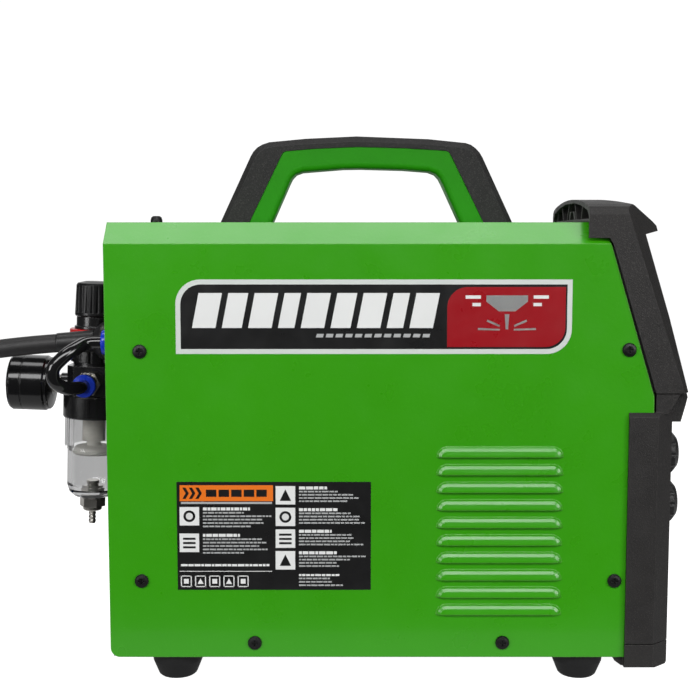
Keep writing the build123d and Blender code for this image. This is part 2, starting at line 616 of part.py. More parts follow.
# four bolts from inside the case
bolts = []
for x, y in HANDLE_BOLTS:
    zt = CASE_Z1 - SHEET
    bolts.append(lathe([(0, -3.4), (4.6, -3.4), (5.0, -3.0), (5.0, 0), (2.5, 0), (2.5, 14.0), (0, 14.0)], (x, y, zt), Z))
keep("handle_bolts", *bolts)

# ----------------------------------------------------------------------
# feet and screws
# ----------------------------------------------------------------------
feet, fs = [], []
for x in FOOT_X:
    for s in (-1, 1):
        f = lathe([(2.6, 3.4), (5.6, 3.4), (5.6, 0.6), (7.0, 0.0), (13.0, 0.0), (14.4, 1.2), (15.0, 2.6), (18.6, 11.5), (19.4, 19.0), (19.5, 20.0),
                   (2.6, 20.0)], (x, s * FOOT_Y, 0), Z)
        feet.append(f)
        sc = lathe([(0, 0.8), (4.9, 0.8), (4.9, 3.4), (2.45, 3.4), (2.45, 26.5), (0, 26.5)], (x, s * FOOT_Y, 0), Z)
        fs.append(sc)
keep("rubber_feet", *feet)
keep("foot_screws", *fs)


def pan_screw(origin, direction, length, head_h=SCREW_HEAD_H, head_r=SCREW_HEAD_R, shank=SCREW_R):
    """cross-recessed pan head; origin is under the head, direction points out of the head"""
    s = lathe([(0, -length), (shank, -length), (shank, 0), (head_r, 0), (head_r, head_h * 0.45),
               (head_r * 0.86, head_h * 0.82), (head_r * 0.55, head_h), (0, head_h)], (0, 0, 0), Z)
    a, w = head_r * 0.46, 0.55
    cross = prism_z([(-a, -w), (a, -w), (a, w), (-a, w)], head_h - 1.3, head_h + 1) + \
        prism_z([(-w, -a), (w, -a), (w, a), (-w, a)], head_h - 1.3, head_h + 1)
    s = s - cross
    return Plane(origin=origin, z_dir=direction).location * s


cs = []
for x, z in SIDE_SCREWS:
    ln = 6.0
    for s in (-1, 1):
        cs.append(pan_screw((x, s * CASE_HW, z), (0, s, 0), ln))
cs.append(pan_screw((TOP_SCREW_X, 0, CASE_Z1), Z, 7.0, head_h=5.6, head_r=4.6))
keep("cover_screws", *cs)

# ----------------------------------------------------------------------
# fan
# ----------------------------------------------------------------------
FX0, FX1 = RP1 + 0.2, RP1 + 25.2
ff = block(FX0, FX1, FAN_Y - 40, FAN_Y + 40, FAN_Z - 40, FAN_Z + 40)
ff = ff - rod((FX0 - 1, FAN_Y, FAN_Z), X, 38.2, 40)
ff = ff + rod((FX1 - 4.0, FAN_Y, FAN_Z), X, 17.0, 4.0)
arms = []
for i in range(4):
    a = math.radians(45 + 90 * i)
    arm = Plane(origin=(FX1 - 3.0, FAN_Y, FAN_Z), x_dir=(0, math.cos(a), math.sin(a)), z_dir=(1, 0, 0)).location * \
        prism_z([(14, -1.5), (39.2, -1.5), (39.2, 1.5), (14, 1.5)], 0, 3.0)
    arms.append(arm)
ff = ff.fuse(*arms)
cuts = [rod((FX0 - 1, y, z), X, 2.0, 12) for y, z in FAN_SCREWS]
cuts.append(rod((FX1 - 4.5, FAN_Y, FAN_Z), X, 1.55, 6))
ff = ff.cut(*cuts)
keep("fan_frame", ff)
rot = lathe([(0, 0), (16.4, 0), (17.0, 0.8), (17.0, 18.6), (0, 18.6)], (FX0 + 1.6, FAN_Y, FAN_Z), X)
blades = []
for i in range(7):
    a0 = 360.0 * i / 7
    pts = []
    # a pitched blade: a thin slanted slab from the hub to near the ring
    b = Pos(0, 0, 0) * Solid.make_box(1.6, 21.0, 22.0, Plane(origin=(-0.8, -10.5, 15.6)))
    b = Rot(0, 0, 52) * b
    b = Rot(a0, 0, 0) * b
    blades.append(Pos(FX0 + 1.6 + 9.3, FAN_Y, FAN_Z) * b)
clip = ring((FX0 + 1.6, FAN_Y, FAN_Z), X, 37.2, 14.0, 18.0)
bl = []
for b in blades:
    bl += list((b & clip).solids())
rot = rot.fuse(*bl)
rot = rot + rod((FX0 + 15, FAN_Y, FAN_Z), X, 1.5, FX1 - FX0 - 15.2)
keep("fan_rotor", rot)
print("fan rotor solids:", len(rot.solids()))
rs = []
for y, z in FAN_SCREWS:
    rs.append(pan_screw((RP0, y, z), NX, 8.0, head_h=2.2, head_r=3.9, shank=1.95))
for y, z in BRACKET_SCREWS:
    rs.append(pan_screw((RP0 - 2.0, y, z), NX, 8.0, head_h=2.2, head_r=3.9, shank=1.95))
keep("rear_screws", *rs)

# ----------------------------------------------------------------------
# mains switch
# ----------------------------------------------------------------------
sb = block(RP0 - 2.2, RP0, SW_Y - 12.5, SW_Y + 12.5, SW_Z - 17, SW_Z + 17)
sb = sb + block(RP0, -150.0, SW_Y - 10.9, SW_Y + 10.9, SW_Z - 14.9, SW_Z + 14.9)
sb = sb - block(RP0 - 3, -161.0, SW_Y - 8.6, SW_Y + 8.6, SW_Z - 12.6, SW_Z + 12.6)
for z in (SW_Z - 8, SW_Z, SW_Z + 8):
    sb = sb + block(-150.0, -142.0, SW_Y - 3.2, SW_Y + 3.2, z - 0.4, z + 0.4)
sb = sb - rod((-170.0, SW_Y - 10.0, SW_Z), Y, 1.55, 20)
keep("switch_body", sb)
# rocker: a shallow V face that turns on a pin across the body; rest is off
rk_pts = [(-170.0 - 1.5, SW_Z - 11.6), (-170.0 - 5.7, SW_Z - 11.3), (-170.0 - 6.6, SW_Z), (-170.0 - 8.6, SW_Z + 9.4),
          (-170.0 - 4.0, SW_Z + 11.2), (-170.0 + 2.4, SW_Z + 3.0), (-170.0 + 2.4, SW_Z - 3.0)]
rk = prism_y(rk_pts, SW_Y - 8.2, SW_Y + 8.2) + rod((-170.0, SW_Y - 9.8, SW_Z), Y, 1.5, 19.6)
keep("switch_rocker", rk)

# ----------------------------------------------------------------------
# cable gland and mains cable
# ----------------------------------------------------------------------
gl = lathe([(0, 0), (7.2, 0), (9.4, 1.0), (12.6, 4.2), (14.4, 6.6), (14.7, 8.0), (14.7, 16.4), (15.6, 16.6), (15.6, 19.7), (10.0, 19.7),
            (10.0, 32.0), (0, 32.0)], (GLAND_X, CABLE_Y, CABLE_Z), X)
nut = hexagon((RP1 + 0.2, CABLE_Y, CABLE_Z), X, 26.0, 5.0) - rod((RP1, CABLE_Y, CABLE_Z), X, 10.4, 8)
gl = gl - ring((GLAND_X + 5, CABLE_Y, CABLE_Z), X, 30, 14.2, 1.0)
keep("cable_gland", gl, nut)

route = [(GLAND_X, CABLE_Y, CABLE_Z), (-258.0, -26.8, 248.2), (-325.0, -31.0, 234.5), (-368.0, -44.0, 172.0),
         (-388.0, -61.0, 104.0), (-421.0, -76.0, 50.0), (-488.0, -84.0, COIL_Z_TOP), (-547.0, -84.0, COIL_Z_TOP)]


def route_radii(pts):
    out = []
    for i in range(1, len(pts) - 1):
        a = Vector(*pts[i]) - Vector(*pts[i - 1])
        b = Vector(*pts[i + 1]) - Vector(*pts[i])
        turn = math.radians(a.get_angle(b))
        out.append(0.45 * min(a.length, b.length) / math.tan(turn / 2))
    return out


radii = route_radii(route)
print("mains cable radii:", [round(r, 1) for r in radii], "runs:",
      [round((Vector(*b) - Vector(*a)).length, 1) for a, b in zip(route[:-1], route[1:], strict=True)])
path = FilletPolyline(*route, radius=radii)
start = Plane(origin=route[0], z_dir=(Vector(*route[1]) - Vector(*route[0])).normalized())
section = start * Circle(CABLE_D / 2)
cable = sweep(section, path=path)
print("mains cable length", round(path.length, 1), "volume ratio",
      round(cable.volume / (math.pi * CABLE_D ** 2 / 4 * path.length), 4))
# the gland's outer face is square to the cable
keep("mains_cable", cable - block(GLAND_X, GLAND_X + 20, CABLE_Y - 20, CABLE_Y + 20, CABLE_Z - 20, CABLE_Z + 20))
r0, r1 = COIL_R_IN - CABLE_D / 2, COIL_R_OUT + CABLE_D / 2
ht = COIL_Z_TOP + CABLE_D / 2
coil = lathe([(r0 + 3, 0), (r1 - 3, 0), (r1, 3), (r1, ht - 3), (r1 - 3, ht), (r0 + 3, ht), (r0, ht - 3), (r0, 3)],
             (COIL_X, 0, 0), Z)
coil = coil + rod((COIL_X, -COIL_R_OUT, COIL_Z_TOP), X, CABLE_D / 2, route[-1][0] - COIL_X)
PLUG_X = COIL_X + 60.0
coil = coil + rod((COIL_X, COIL_R_OUT, COIL_Z_TOP), X, CABLE_D / 2, PLUG_X - COIL_X)
keep("mains_coil", coil)
# round industrial plug, lying on the floor beside the coil
pl = lathe([(0, 0), (9.6, 0), (10.4, 1.2), (11.6, 14.0), (16.4, 18.0), (17.2, 20.0), (17.2, 46.0), (18.8, 50.0), (18.8, 70.0), (21.6, 73.0),
            (21.6, 76.0), (20.8, 78.0), (20.8, 116.0), (18.4, 116.0), (18.4, 80.0), (0, 80.0)], (PLUG_X, COIL_R_OUT, COIL_Z_TOP), X)
cuts = []
for i in range(16):
    a = math.radians(22.5 * i)
    cuts.append(rod((PLUG_X + 22, COIL_R_OUT + 18.2 * math.cos(a), COIL_Z_TOP + 18.2 * math.sin(a)), X, 1.5, 22))
pl = pl.cut(*cuts)
PINS = [(0.0, 9.6, 3.0), (9.6, -2.4, 2.5), (-9.6, -2.4, 2.5)]
pl = pl.cut(*[rod((PLUG_X + 72, COIL_R_OUT + a, COIL_Z_TOP + b), X, r - 1.0, 8) for a, b, r in PINS])
keep("mains_plug", pl)
keep("plug_pins", *[lathe([(0, 0), (r - 1.0, 0), (r - 1.0, 8.0), (r, 8.0), (r, 38.0), (r - 0.8, 39.4), (0, 39.4)], (PLUG_X + 72, COIL_R_OUT + a, COIL_Z_TOP + b), X)
                    for a, b, r in PINS])

# ----------------------------------------------------------------------
# filter regulator on the rear panel
# ----------------------------------------------------------------------
FO = (FRL_X, FRL_Y, 0)
LEAN = Pos(FRL_X, FRL_Y, 244.2) * Rot(0, FRL_LEAN, 0) * Pos(-FRL_X, -FRL_Y, -244.2)


def leaned(x, y, z):
    """where a point of the upright unit comes to lie"""
    t = math.radians(FRL_LEAN)
    dx, dz = x - FRL_X, z - 244.2
    return (FRL_X + dx * math.cos(t) + dz * math.sin(t), y, 244.2 - dx * math.sin(t) + dz * math.cos(t))


def keep_lean(name, *solids):
    keep(name, *[LEAN * q for q in solids])


# bracket: wall plate and a shelf with a ring round the bonnet
br = LEAN * (block(FRL_X, RP0 + 2.0, FRL_Y - 14.0, FRL_Y + 14.0, 243.2, 245.2) + rod((FRL_X, FRL_Y, 243.2), Z, 19.0, 2.0))
br = br - block(RP0 - 0.6, RP0 + 10, FRL_Y - 30, FRL_Y + 30, 230, 260)
br = br + block(RP0 - 2.0, RP0, FRL_Y - 15, FRL_Y + 15, 242.0, 282.0)
br = br.cut(LEAN * rod((FRL_X, FRL_Y, 236), Z, 15.3, 16), *[rod((RP0 - 3, y, z), X, 2.1, 4) for y, z in BRACKET_SCREWS])
br = max(br.solids(), key=lambda q: q.volume)
keep("frl_bracket", br)
# body: port block over the threaded cup, with the gauge boss
GZ = 213.5                             # height of the gauge
body = prism_z([(FRL_X - 19, FRL_Y - 13), (FRL_X - 13, FRL_Y - 19.5), (FRL_X + 13, FRL_Y - 19.5), (FRL_X + 19, FRL_Y - 13),
                (FRL_X + 19, FRL_Y + 13), (FRL_X + 13, FRL_Y + 19.5), (FRL_X - 13, FRL_Y + 19.5), (FRL_X - 19, FRL_Y + 13)], 205.0, 229.7)
body = body + lathe([(0, 188.3), (23.8, 188.3), (24.3, 189.2), (24.3, 205.5), (23.6, 206.4), (0, 206.4)], FO, Z)
body = body + rod((FRL_X, FRL_Y, 229.0), Z, 17.0, 3.2) + rod((FRL_X - 26.0, FRL_Y, GZ), X, 8.6, 9.0)
cuts = [rod((FRL_X, FRL_Y, 180), Z, 19.6, 20.0), rod((FRL_X, FRL_Y, 199), Z, 6.0, 9.0), rod((FRL_X, FRL_Y, 214), Z, 9.0, 20),
        rod((FRL_X, FRL_Y - 30, PORT_Z), Y, 6.6, 22.0), rod((FRL_X, FRL_Y + 30, PORT_Z), NY, 6.6, 22.0),
        rod((FRL_X - 30, FRL_Y, GZ), X, 4.9, 20.0),
        rod((FRL_X, FRL_Y - 10, PORT_Z), Y, 3.0, 20), rod((FRL_X, FRL_Y, 204), Z, 3.0, 14)]
body = body.cut(*cuts)
for s in (-1, 1):                    # cast ribs on the cup
    body = body + block(FRL_X - 1.0, FRL_X + 1.0, min(FRL_Y + s * 23.5, FRL_Y + s * 25.0), max(FRL_Y + s * 23.5, FRL_Y + s * 25.0), 190, 204)
keep_lean("regulator_body", body)
# bonnet: spring housing with a neck that the knob slides on
bo = lathe([(9.6, 232.4), (19.0, 232.4), (19.0, 242.6), (15.0, 243.2), (15.0, 254.9), (13.4, 254.9), (13.4, 258.6), (16.6, 258.6), (16.6, 260.2), (15.9, 260.8), (15.1, 260.8), (15.1, 267.8),
            (12.3, 267.8), (12.3, 279.0), (5.2, 279.0), (5.2, 274.0), (9.6, 270.0)], FO, Z)
bo = bo.cut(*[rod((FRL_X + 19.6 * math.cos(math.radians(a)), FRL_Y + 19.6 * math.sin(math.radians(a)), 231), Z, 1.6, 11.0)
              for a in range(0, 360, 30)])
keep_lean("regulator_bonnet", bo)
# clamp ring over the bracket, with its red band
keep_lean("lock_ring", lathe([(13.6, 255.3), (20.2, 255.3), (20.2, 257.8), (19.4, 258.3), (13.6, 258.3)], FO, Z))
# adjusting screw, turned by the knob
keep_lean("adjusting_screw", lathe([(0, 246.0), (8.2, 246.0), (8.2, 249.0), (4.9, 250.0), (4.9, 281.0), (0, 281.0)], FO, Z) +
     hexagon((FRL_X, FRL_Y, 281.0), Z, 7.0, 8.0))
# knob: fluted cap, hollow over the neck
kb = lathe([(14.0, 268.4), (16.0, 268.4), (16.5, 269.4), (15.7, 292.6), (14.7, 294.2), (9.0, 295.6), (0, 296.0), (0, 291.2),
            (5.4, 291.2), (5.4, 282.6), (12.7, 282.6), (12.7, 270.4), (14.0, 270.4)], FO, Z)
kb = kb.cut(*[rod((FRL_X + 16.9 * math.cos(math.radians(a)), FRL_Y + 16.9 * math.sin(math.radians(a)), 271.2), Z, 1.4, 24.0)
              for a in range(0, 360, 15)])
keep_lean("regulator_knob", kb)
# clear bowl with rounded end and side lug
bw = lathe([(19.2, 198.6), (19.2, 188.2), (21.0, 188.2), (21.0, 165.0), (20.4, 162.0), (20.2, 134.0), (18.4, 128.4), (14.6, 124.8),
            (9.6, 123.2), (4.6, 123.0), (4.6, 126.6), (8.8, 126.8), (12.8, 128.2), (15.6, 131.2), (17.2, 135.6), (17.4, 198.6)], FO, Z)
lug = block(FRL_X - 22.4, FRL_X - 20.0, FRL_Y - 4.0, FRL_Y + 4.0, 164.0, 187.8)
bw = bw + lug
keep_lean("filter_bowl", bw)
# filter element on its stem, and the baffle under it
keep_lean("filter_element", lathe([(0, 169.4), (9.0, 169.4), (9.0, 196.0), (5.8, 196.0), (5.8, 205.5), (0, 205.5)], FO, Z))
bf = lathe([(0, 158.6), (14.6, 158.6), (16.2, 160.0), (16.2, 162.6), (14.0, 164.6), (6.0, 165.6), (5.0, 169.0), (0, 169.0)], FO, Z)
keep_lean("baffle", bf)
# drain valve under the bowl
db = hexagon((FRL_X, FRL_Y, 115.9), Z, 17.6, 7.0) + lathe(
    [(3.15, 112.6), (6.6, 112.6), (7.4, 113.4), (7.4, 115.9), (8.0, 115.9), (8.0, 122.8), (4.4, 122.9), (4.4, 134.0), (3.15, 134.0)], FO, Z)
db = db + hexagon((FRL_X, FRL_Y, 126.9), Z, 16.0, 4.6, 20)
db = db - rod((FRL_X, FRL_Y, 100), Z, 3.15, 40)
keep_lean("drain_body", db)
# sprung drain stem with a barbed end; pushed up it drains the bowl
ds = lathe([(0, 101.7), (2.4, 101.7), (3.0, 104.0), (2.4, 105.0), (3.0, 107.0), (2.4, 108.0), (3.0, 110.0), (2.5, 111.0), (3.05, 112.0),
            (3.05, 134.6), (5.0, 134.6), (5.0, 137.0), (0, 137.0)], FO, Z)
keep_lean("drain_stem", ds)

# ----------------------------------------------------------------------
# pressure gauge, facing rearwards
# ----------------------------------------------------------------------
GO = (0, FRL_Y, GZ)
gc = lathe([(0, 233.5), (10.0, 233.5), (11.0, 233.8), (19.8, 235.4), (20.6, 236.2), (20.6, 237.9), (21.0, 238.1), (21.8, 239.3), (21.8, 255.2), (21.2, 255.6), (21.2, 256.2), (21.85, 256.6), (21.85, 264.6), (20.6, 266.5), (18.8, 266.5),
            (18.8, 259.5), (0, 259.5)], GO, NX)
keep_lean("gauge_case", gc)
keep_lean("gauge_stem", lathe([(0, 227.7), (7.2, 227.7), (7.2, 233.5), (0, 233.5)], GO, NX) +
     rod((-227.7, FRL_Y, GZ), X, 4.7, 12.0))
keep_lean("gauge_dial", lathe([(0, 259.6), (18.5, 259.6), (18.5, 260.4), (0, 260.4)], GO, NX) - rod((-266, FRL_Y, GZ), X, 0.8, 10))
keep_lean("gauge_lens", lathe([(0, 264.2), (18.6, 264.2), (18.6, 266.0), (0, 266.4)], GO, NX))
# needle: rests at the low end of its scale, pointing down to one side
na = math.radians(-45.0)
NP = Plane(origin=(-261.0, FRL_Y, GZ), x_dir=(0, math.cos(na), math.sin(na)), z_dir=(-1, 0, 0))
nd = NP.location * prism_z([(-4.5, -0.9), (3.0, -0.7), (14.5, -0.18), (14.5, 0.18), (3.0, 0.7), (-4.5, 0.9)], 0, 0.5)
nd = nd + NP.location * Solid.make_cylinder(2.2, 1.4)
nd = nd + rod((-261.2, FRL_Y, GZ), X, 0.7, 1.5)
keep_lean("gauge_needle", nd)

# ----------------------------------------------------------------------
# push-in fittings and the black air hose between them
# ----------------------------------------------------------------------
OX = FRL_X
of_ = lathe([(3.6, 11.0), (6.5, 11.0), (6.5, 19.6), (8.0, 19.6), (8.0, 36.0), (6.9, 37.0), (6.9, 37.2), (5.45, 37.2), (5.45, 22.0), (3.6, 22.0)], (OX, FRL_Y, PORT_Z), NY)
of_ = of_ + (hexagon((OX, FRL_Y - 19.7, PORT_Z), NY, 17.0, 7.0, 30) - rod((OX, FRL_Y - 15, PORT_Z), NY, 7.0, 20))
of_ = of_ - rod((OX, FRL_Y - 22.0, PORT_Z), NY, 6.15, 20)
keep_lean("outlet_fitting", of_)
CL = 1.2                              # collet travel
keep_lean("outlet_collet", lathe([(5.08, 27.0), (6.05, 27.0), (6.05, 38.6), (8.9, 38.6), (8.9, 40.4), (8.4, 41.4), (5.08, 41.4)], (OX, FRL_Y, PORT_Z), NY))
bh = lathe([(3.6, -16.0), (7.2, -16.0), (7.2, 0.0), (10.2, 0.0), (10.2, 2.4), (9.4, 2.8), (9.4, 3.6), (5.45, 3.6), (5.45, -8.0), (3.6, -8.0)], (RP0, BH_Y, BH_Z), NX)
bh = bh - rod((RP0 + 7.0, BH_Y, BH_Z), NX, 6.15, 20)
bn = hexagon((RP1 + 0.1, BH_Y, BH_Z), X, 19.0, 4.5) - rod((RP1, BH_Y, BH_Z), X, 7.6, 8)
keep("bulkhead_fitting", bh, bn)
keep("bulkhead_collet", lathe([(5.08, -2.0), (6.05, -2.0), (6.05, 5.0), (9.4, 5.0), (9.4, 7.2), (8.9, 8.2), (5.08, 8.2)], (RP0, BH_Y, BH_Z), NX))
HS = leaned(OX, FRL_Y, PORT_Z)
hose_pts = [(HS[0], FRL_Y - 23.0, HS[2]), (HS[0], -45.0, HS[2]), (-211.0, -59.5, 218.6), (-217.6, -67.0, 225.0), (-217.4, -69.0, 235.0),
            (-207.5, -66.0, 245.2), (-195.5, -54.0, BH_Z), (-186.5, BH_Y, BH_Z), (RP0 + 6.0, BH_Y, BH_Z)]
hr = []
for i in range(1, len(hose_pts) - 1):
    a = Vector(*hose_pts[i]) - Vector(*hose_pts[i - 1])
    b = Vector(*hose_pts[i + 1]) - Vector(*hose_pts[i])
    hr.append(0.45 * min(a.length, b.length) / math.tan(math.radians(a.get_angle(b)) / 2))
print("hose radii", [round(r, 1) for r in hr])
hp = FilletPolyline(*hose_pts, radius=hr)
hs = Plane(origin=hose_pts[0], z_dir=NY) * Circle(HOSE_D / 2)
hose = sweep(hs, path=hp)
print("hose length", round(hp.length, 1), "volume ratio", round(hose.volume / (math.pi * HOSE_D ** 2 / 4 * hp.length), 4))
keep("air_hose", hose)
# airline plug on the inlet side, 7.2 profile
keep_lean("inlet_nipple", lathe([(3.6, 11.0), (6.5, 11.0), (6.5, 19.6), (8.5, 19.6), (8.5, 27.0), (6.4, 28.0), (6.4, 31.0), (5.9, 31.6), (5.9, 38.0), (4.9, 39.0),
                            (4.9, 42.6), (5.9, 43.6), (5.9, 54.6), (5.2, 55.6), (3.6, 55.6)], (OX, FRL_Y, PORT_Z), Y))

# ----------------------------------------------------------------------
# inside: heatsink, power board, transformer, capacitors, gas valve
# ----------------------------------------------------------------------
hsk = block(-128, 72, -48, 48, 21.8, 29.8)
fins = [block(-128, 72, y - 1.0, y + 1.0, 29.0, 70.0) for y in range(-46, 47, 8)]
hsk = hsk.fuse(*fins)
keep("heatsink", hsk)
pcb = block(-134, 78, -62, 62, 78.0, 79.6)
posts = []
for x in (-131, 75):
    for y in (-58, 58):
        posts.append(rod((x, y, CASE_Z0 + SHEET), Z, 3.0, 78.0 - CASE_Z0 - SHEET))
pcb = pcb.fuse(*posts)
pcb = pcb + block(-110, -70, 38, 56, 79.6, 92.0)
pcb = pcb + block(20, 66, -58, -40, 79.6, 98.0)
keep("main_pcb", pcb)
tr = block(-62, 4, -30, 26, 79.8, 134.0) - block(-50, -8, -40, 40, 92.0, 122.0)
wind = block(-48, -10, -38, 34, 90.0, 124.0) - block(-62, 4, -30, 26, 79.8, 134.0)
tr = tr + block(-49.9, -8.1, -38, 34, 92.1, 121.9)
keep("transformer", tr)
keep("capacitors", *[rod((x, y, 79.7), Z, 15.0, 46.0) for x, y in ((34, -18), (34, 18), (66, 2))])
vx = -128.0
va = block(vx - 14, vx + 14, -66, -38, 226.0, 250.0) + rod((vx, BH_Y, 250.0), Z, 9.0, 34.0)
va = va + rod((vx - 14, BH_Y, 238.0), NX, 5.0, 8.0) + rod((vx + 14, BH_Y, 238.0), X, 5.0, 8.0)
va = va + block(vx - 10, vx + 10, -70.0, -66.0, 228.0, 262.0)
keep("solenoid_valve", va)

# ----------------------------------------------------------------------
# write: the origin goes to the middle of the footprint, measured without
# the free mains cable, its coil and its plug
# ----------------------------------------------------------------------
CORD = {"mains_cable", "mains_coil", "mains_plug", "plug_pins"}
lo = [1e9] * 3
hi = [-1e9] * 3
for name, solids in parts.items():
    if name in CORD:
        continue
    for s in solids:
        bb = s.bounding_box()
        for i, (a, b) in enumerate(((bb.min.X, bb.max.X), (bb.min.Y, bb.max.Y), (bb.min.Z, bb.max.Z))):
            lo[i] = min(lo[i], a)
            hi[i] = max(hi[i], b)
SHIFT = (-(lo[0] + hi[0]) / 2, -(lo[1] + hi[1]) / 2, -lo[2])
print("box", [round(v, 3) for v in lo], [round(v, 3) for v in hi], "shift", [round(v, 4) for v in SHIFT])
for name, solids in parts.items():
    moved = [Pos(*SHIFT) * s for s in solids]
    shape = moved[0] if len(moved) == 1 else Compound(moved)
    export_step(shape, "parts/" + name + ".step")
print(len(parts), "nodes")
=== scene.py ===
import json
import math

import bmesh
import bpy
from mathutils import Matrix, Vector

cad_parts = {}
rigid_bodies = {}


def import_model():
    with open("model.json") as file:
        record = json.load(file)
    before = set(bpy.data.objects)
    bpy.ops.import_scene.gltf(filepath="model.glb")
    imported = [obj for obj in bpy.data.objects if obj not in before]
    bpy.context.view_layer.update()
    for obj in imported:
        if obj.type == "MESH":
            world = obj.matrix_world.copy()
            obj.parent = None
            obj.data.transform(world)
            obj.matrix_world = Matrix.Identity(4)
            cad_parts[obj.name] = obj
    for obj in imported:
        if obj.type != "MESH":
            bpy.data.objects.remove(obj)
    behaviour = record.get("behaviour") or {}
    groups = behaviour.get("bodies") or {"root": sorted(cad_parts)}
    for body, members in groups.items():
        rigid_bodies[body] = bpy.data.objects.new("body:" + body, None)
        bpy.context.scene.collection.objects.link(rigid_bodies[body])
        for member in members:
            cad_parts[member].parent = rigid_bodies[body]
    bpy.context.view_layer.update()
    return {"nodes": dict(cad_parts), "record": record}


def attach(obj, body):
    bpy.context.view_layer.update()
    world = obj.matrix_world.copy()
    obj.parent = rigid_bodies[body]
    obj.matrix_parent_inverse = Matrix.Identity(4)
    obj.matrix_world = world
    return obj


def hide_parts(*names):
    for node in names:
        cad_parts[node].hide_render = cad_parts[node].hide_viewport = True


for o in list(bpy.data.objects):
    bpy.data.objects.remove(o)
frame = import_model()
N = frame["nodes"]
sc = bpy.context.scene
SX = 5.3532


def P(x, y, z):
    """model drawing millimetres to the row frame in metres"""
    return Vector(((x + SX) / 1000, y / 1000, z / 1000))


def leaned(x, y, z):
    """a point of the upright filter regulator, where its lean puts it"""
    t = math.radians(2.3)
    dx, dz = x + 201.5, z - 244.2
    return P(-201.5 + dx * math.cos(t) + dz * math.sin(t), y, 244.2 - dx * math.sin(t) + dz * math.cos(t))


# ---------------------------------------------------------------- camera
cd = bpy.data.cameras.new("cam")
cd.lens = 60.69
cd.sensor_width = 36
cam = bpy.data.objects.new("cam", cd)
cam.location = (SX / 1000, -0.9253, 0.3298)
cam.rotation_euler = (math.radians(90 - 5.436), 0, 0)
sc.collection.objects.link(cam)
sc.camera = cam
sc.view_settings.view_transform = "Standard"
sc.view_settings.look = "None"


# ---------------------------------------------------------------- materials
def node_mat(name):
    m = bpy.data.materials.new(name)
    m.use_nodes = True
    nt = m.node_tree
    nt.nodes.clear()
    out = nt.nodes.new("ShaderNodeOutputMaterial")
    b = nt.nodes.new("ShaderNodeBsdfPrincipled")
    nt.links.new(b.outputs[0], out.inputs[0])
    return m, nt, b


def mix_col(nt, fac, a, b, blend="MIX"):
    n = nt.nodes.new("ShaderNodeMix")
    n.data_type = "RGBA"
    n.blend_type = blend
    for sock, v in ((0, fac), (6, a), (7, b)):
        if hasattr(v, "is_output"):
            nt.links.new(v, n.inputs[sock])
        else:
            n.inputs[sock].default_value = v if sock == 0 else (*v[:3], 1)
    return n.outputs[2]


def math_n(nt, op, a, b=0.0, c=0.0, clamp=False):
    n = nt.nodes.new("ShaderNodeMath")
    n.operation = op
    n.use_clamp = clamp
    for i, v in enumerate((a, b, c)):
        if hasattr(v, "is_output"):
            nt.links.new(v, n.inputs[i])
        else:
            n.inputs[i].default_value = v
    return n.outputs[0]


def noise(nt, vec, scale, detail=3.0, rough=0.5, dist=0.0):
    n = nt.nodes.new("ShaderNodeTexNoise")
    n.inputs["Scale"].default_value = scale
    n.inputs["Detail"].default_value = detail
    n.inputs["Roughness"].default_value = rough
    n.inputs["Distortion"].default_value = dist
    nt.links.new(vec, n.inputs["Vector"])
    return n.outputs[0]


def ramp(nt, fac, lo, hi):
    n = nt.nodes.new("ShaderNodeMapRange")
    n.inputs[1].default_value = lo
    n.inputs[2].default_value = hi
    n.clamp = True
    nt.links.new(fac, n.inputs[0])
    return n.outputs[0]


def stretch(nt, vec, sx, sy, sz):
    n = nt.nodes.new("ShaderNodeMapping")
    n.inputs["Scale"].default_value = (sx, sy, sz)
    nt.links.new(vec, n.inputs["Vector"])
    return n.outputs[0]


